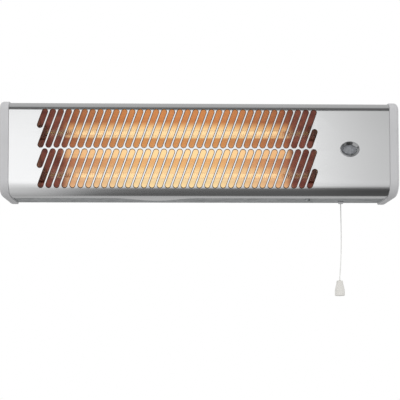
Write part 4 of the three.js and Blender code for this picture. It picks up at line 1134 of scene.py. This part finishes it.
for side in ("left", "right"):
    for level in ("upper", "lower"):
        screw(f"cap_screw_{side}_{level}", "zinc_steel", "y", 1)
    screw(f"cover_screw_{side}", "polished_steel", "z", 1)
screw("bulkhead_screw_right", "zinc_steel", "z", -1)
for node in ("bulkhead_screw_left", "terminal_screw", "clamp_screw_1", "clamp_screw_2"):
    screw(node, "zinc_steel", "y", 1)
screw("earth_screw", "brass", "y", 1)

# ---------------------------------------------------------------- other pieces on their CAD shapes

for node in ("left_bulkhead", "right_bulkhead", "rear_housing"):
    refined(node, "zinc_steel", 0.15 * MM)
refined("wall_bracket", "zinc_steel", 0.35 * MM)
for side in ("left", "right"):
    refined(f"hinge_lug_{side}", "zinc_steel", 0.35 * MM)
    refined(f"pivot_nut_{side}", "zinc_steel", 0.35 * MM)
    refined(f"pivot_bolt_{side}", "zinc_steel", 0.2 * MM)
refined("cord_gland", "grey_plastic", 0.25 * MM, sharp=20)
refined("switch_body", "black_plastic", 0.5 * MM)
refined("switch_rotor", "white_plastic", 0.3 * MM)
refined("switch_plunger", "white_plastic", 0.3 * MM, sharp=20)
refined("terminal_block", "white_plastic", 0.5 * MM)
refined("thermal_cutout", "black_plastic", 0.3 * MM)
refined("cable_grommet", "rubber", 0.3 * MM)
refined("cable_clamp", "black_plastic", 0.4 * MM)
refined("inner_cord", "white_cord", 0.3 * MM)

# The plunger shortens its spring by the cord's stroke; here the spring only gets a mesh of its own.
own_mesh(refined("return_spring", "zinc_steel", 0.05 * MM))
for node, slot in (
    ("wire_live", "brown_sleeve"),
    ("wire_switched", "brown_sleeve"),
    ("wire_cutout", "white_sleeve"),
    ("wire_neutral", "blue_sleeve"),
    ("wire_link", "white_sleeve"),
):
    refined(node, slot, 0.1 * MM)

# ---------------------------------------------------------------- floor, world and lamps

FLOOR_Z = -1.3
FLOOR_SIZE = 8.0
WHITE = (1, 1, 1)
WORLD_LEVEL = 0.9


def make_floor():
    """A floor far below, white to the camera and pale to the light. No piece mirrors it."""
    bm = bmesh.new()
    bmesh.ops.create_grid(bm, x_segments=8, y_segments=8, size=FLOOR_SIZE / 2)
    mesh = bpy.data.meshes.new("floor")
    bm.to_mesh(mesh)
    bm.free()
    floor = bpy.data.objects.new("floor", mesh)
    floor.location.z = FLOOR_Z
    bpy.context.scene.collection.objects.link(floor)
    n = Nodes("floor")
    n.colour(n.ramp(n.noise(3, 2), shades((0.62, 0.62, 0.62), 0.02)))
    n.set(roughness=0.9)
    glow = n.add("ShaderNodeEmission")
    n.fill(glow.inputs["Color"], WHITE)
    rays = n.rays("Camera", "Transmission")
    surface = n.mixed_shaders(rays, n.shader.outputs["BSDF"], glow.outputs["Emission"])
    n.link(surface, n.tree.nodes["Material Output"].inputs["Surface"])
    mesh.materials.append(n.material)
    floor.visible_glossy = False


# The grey that metal mirrors, by the angle up from straight in front and on over the top: for
# directions to the left, ahead and to the right. It is darker than the background that the camera
# sees, and only glossy rays meet it.
STUDIO = [
    (-180, 0.5, 0.5, 0.5),
    (-166, 0.4, 0.42, 0.42),
    (-152, 0.36, 0.42, 0.45),
    (-138, 0.42, 0.1, 0.08),
    (-80, 0.64, 0.12, 0.06),
    (-58, 0.72, 0.2, 0.09),
    (-45, 0.75, 0.75, 0.22),
    (-33, 0.8, 0.95, 0.5),
    (-16, 1.04, 1.0, 0.57),
    (4, 1.14, 1.1, 0.57),
    (15, 1.14, 1.1, 0.57),
    (18, 0.4, 0.25, 0.2),
    (26, 0.1, 0.1, 0.1),
    (52, 0.12, 0.12, 0.12),
    (64, 0.43, 0.43, 0.43),
    (150, 0.5, 0.5, 0.5),
    (172, 0.95, 0.95, 0.95),
    (180, 0.5, 0.5, 0.5),
]


# The sideways part of a direction, from one column of STUDIO to the next.
LEFT_TO_MIDDLE = (-0.14, -0.09)
MIDDLE_TO_RIGHT = (0.111, 0.21)


def make_world():
    """White to the camera, plain pale light on the pieces, and STUDIO in what metal mirrors."""
    world = bpy.data.worlds.new("studio")
    bpy.context.scene.world = world
    world.use_nodes = True
    world.node_tree.nodes.clear()
    n = Tree(world.node_tree)

    def background(colour, strength=1.0):
        node = n.add("ShaderNodeBackground")
        n.fill(node.inputs["Color"], colour)
        n.fill(node.inputs["Strength"], strength)
        return node.outputs["Background"]

    x, y, z = n.split(n.add("ShaderNodeTexCoord").outputs["Generated"])
    angle = n.math("ARCTAN2", z, n.math("MULTIPLY", y, -1))
    turn = n.math("ADD", n.math("DIVIDE", angle, 2 * math.pi), 0.5)
    left, ahead, right = (
        n.ramp(turn, [(row[0] / 360 + 0.5, (row[column],) * 3) for row in STUDIO])
        for column in (1, 2, 3)
    )
    leftness = n.spread(x, 1, 0, *LEFT_TO_MIDDLE, "SMOOTHSTEP")
    rightness = n.spread(x, 0, 1, *MIDDLE_TO_RIGHT, "SMOOTHSTEP")
    mirrored = n.mixed(rightness, n.mixed(leftness, ahead, left), right)
    light = n.mixed_shaders(n.rays("Glossy"), background(WHITE, WORLD_LEVEL), background(mirrored))
    surface = n.mixed_shaders(n.rays("Camera", "Transmission"), light, background(WHITE))
    n.link(surface, n.add("ShaderNodeOutputWorld").inputs["Surface"])


# Soft lamps: name, place, size across, watts.
LAMPS = [
    ("key", (-1.4, -1.9, 1.3), 1.6, 14),
    ("fill", (1.6, -1.6, 0.2), 1.4, 4),
    ("rear", (0.6, 1.8, 1.2), 1.4, 8),
]


def make_lamps():
    for name, place, size, watts in LAMPS:
        data = bpy.data.lights.new(name, "AREA")
        data.shape = "DISK"
        data.size = size
        data.energy = watts
        lamp = bpy.data.objects.new(name, data)
        lamp.location = place
        lamp.rotation_euler = (-Vector(place)).to_track_quat("-Z", "Y").to_euler()
        lamp.visible_glossy = False
        bpy.context.scene.collection.objects.link(lamp)


make_floor()
make_world()
make_lamps()
bpy.context.scene.view_settings.view_transform = "Standard"


def write_size():
    """Imports json, and does nothing else."""
    import json


write_size()
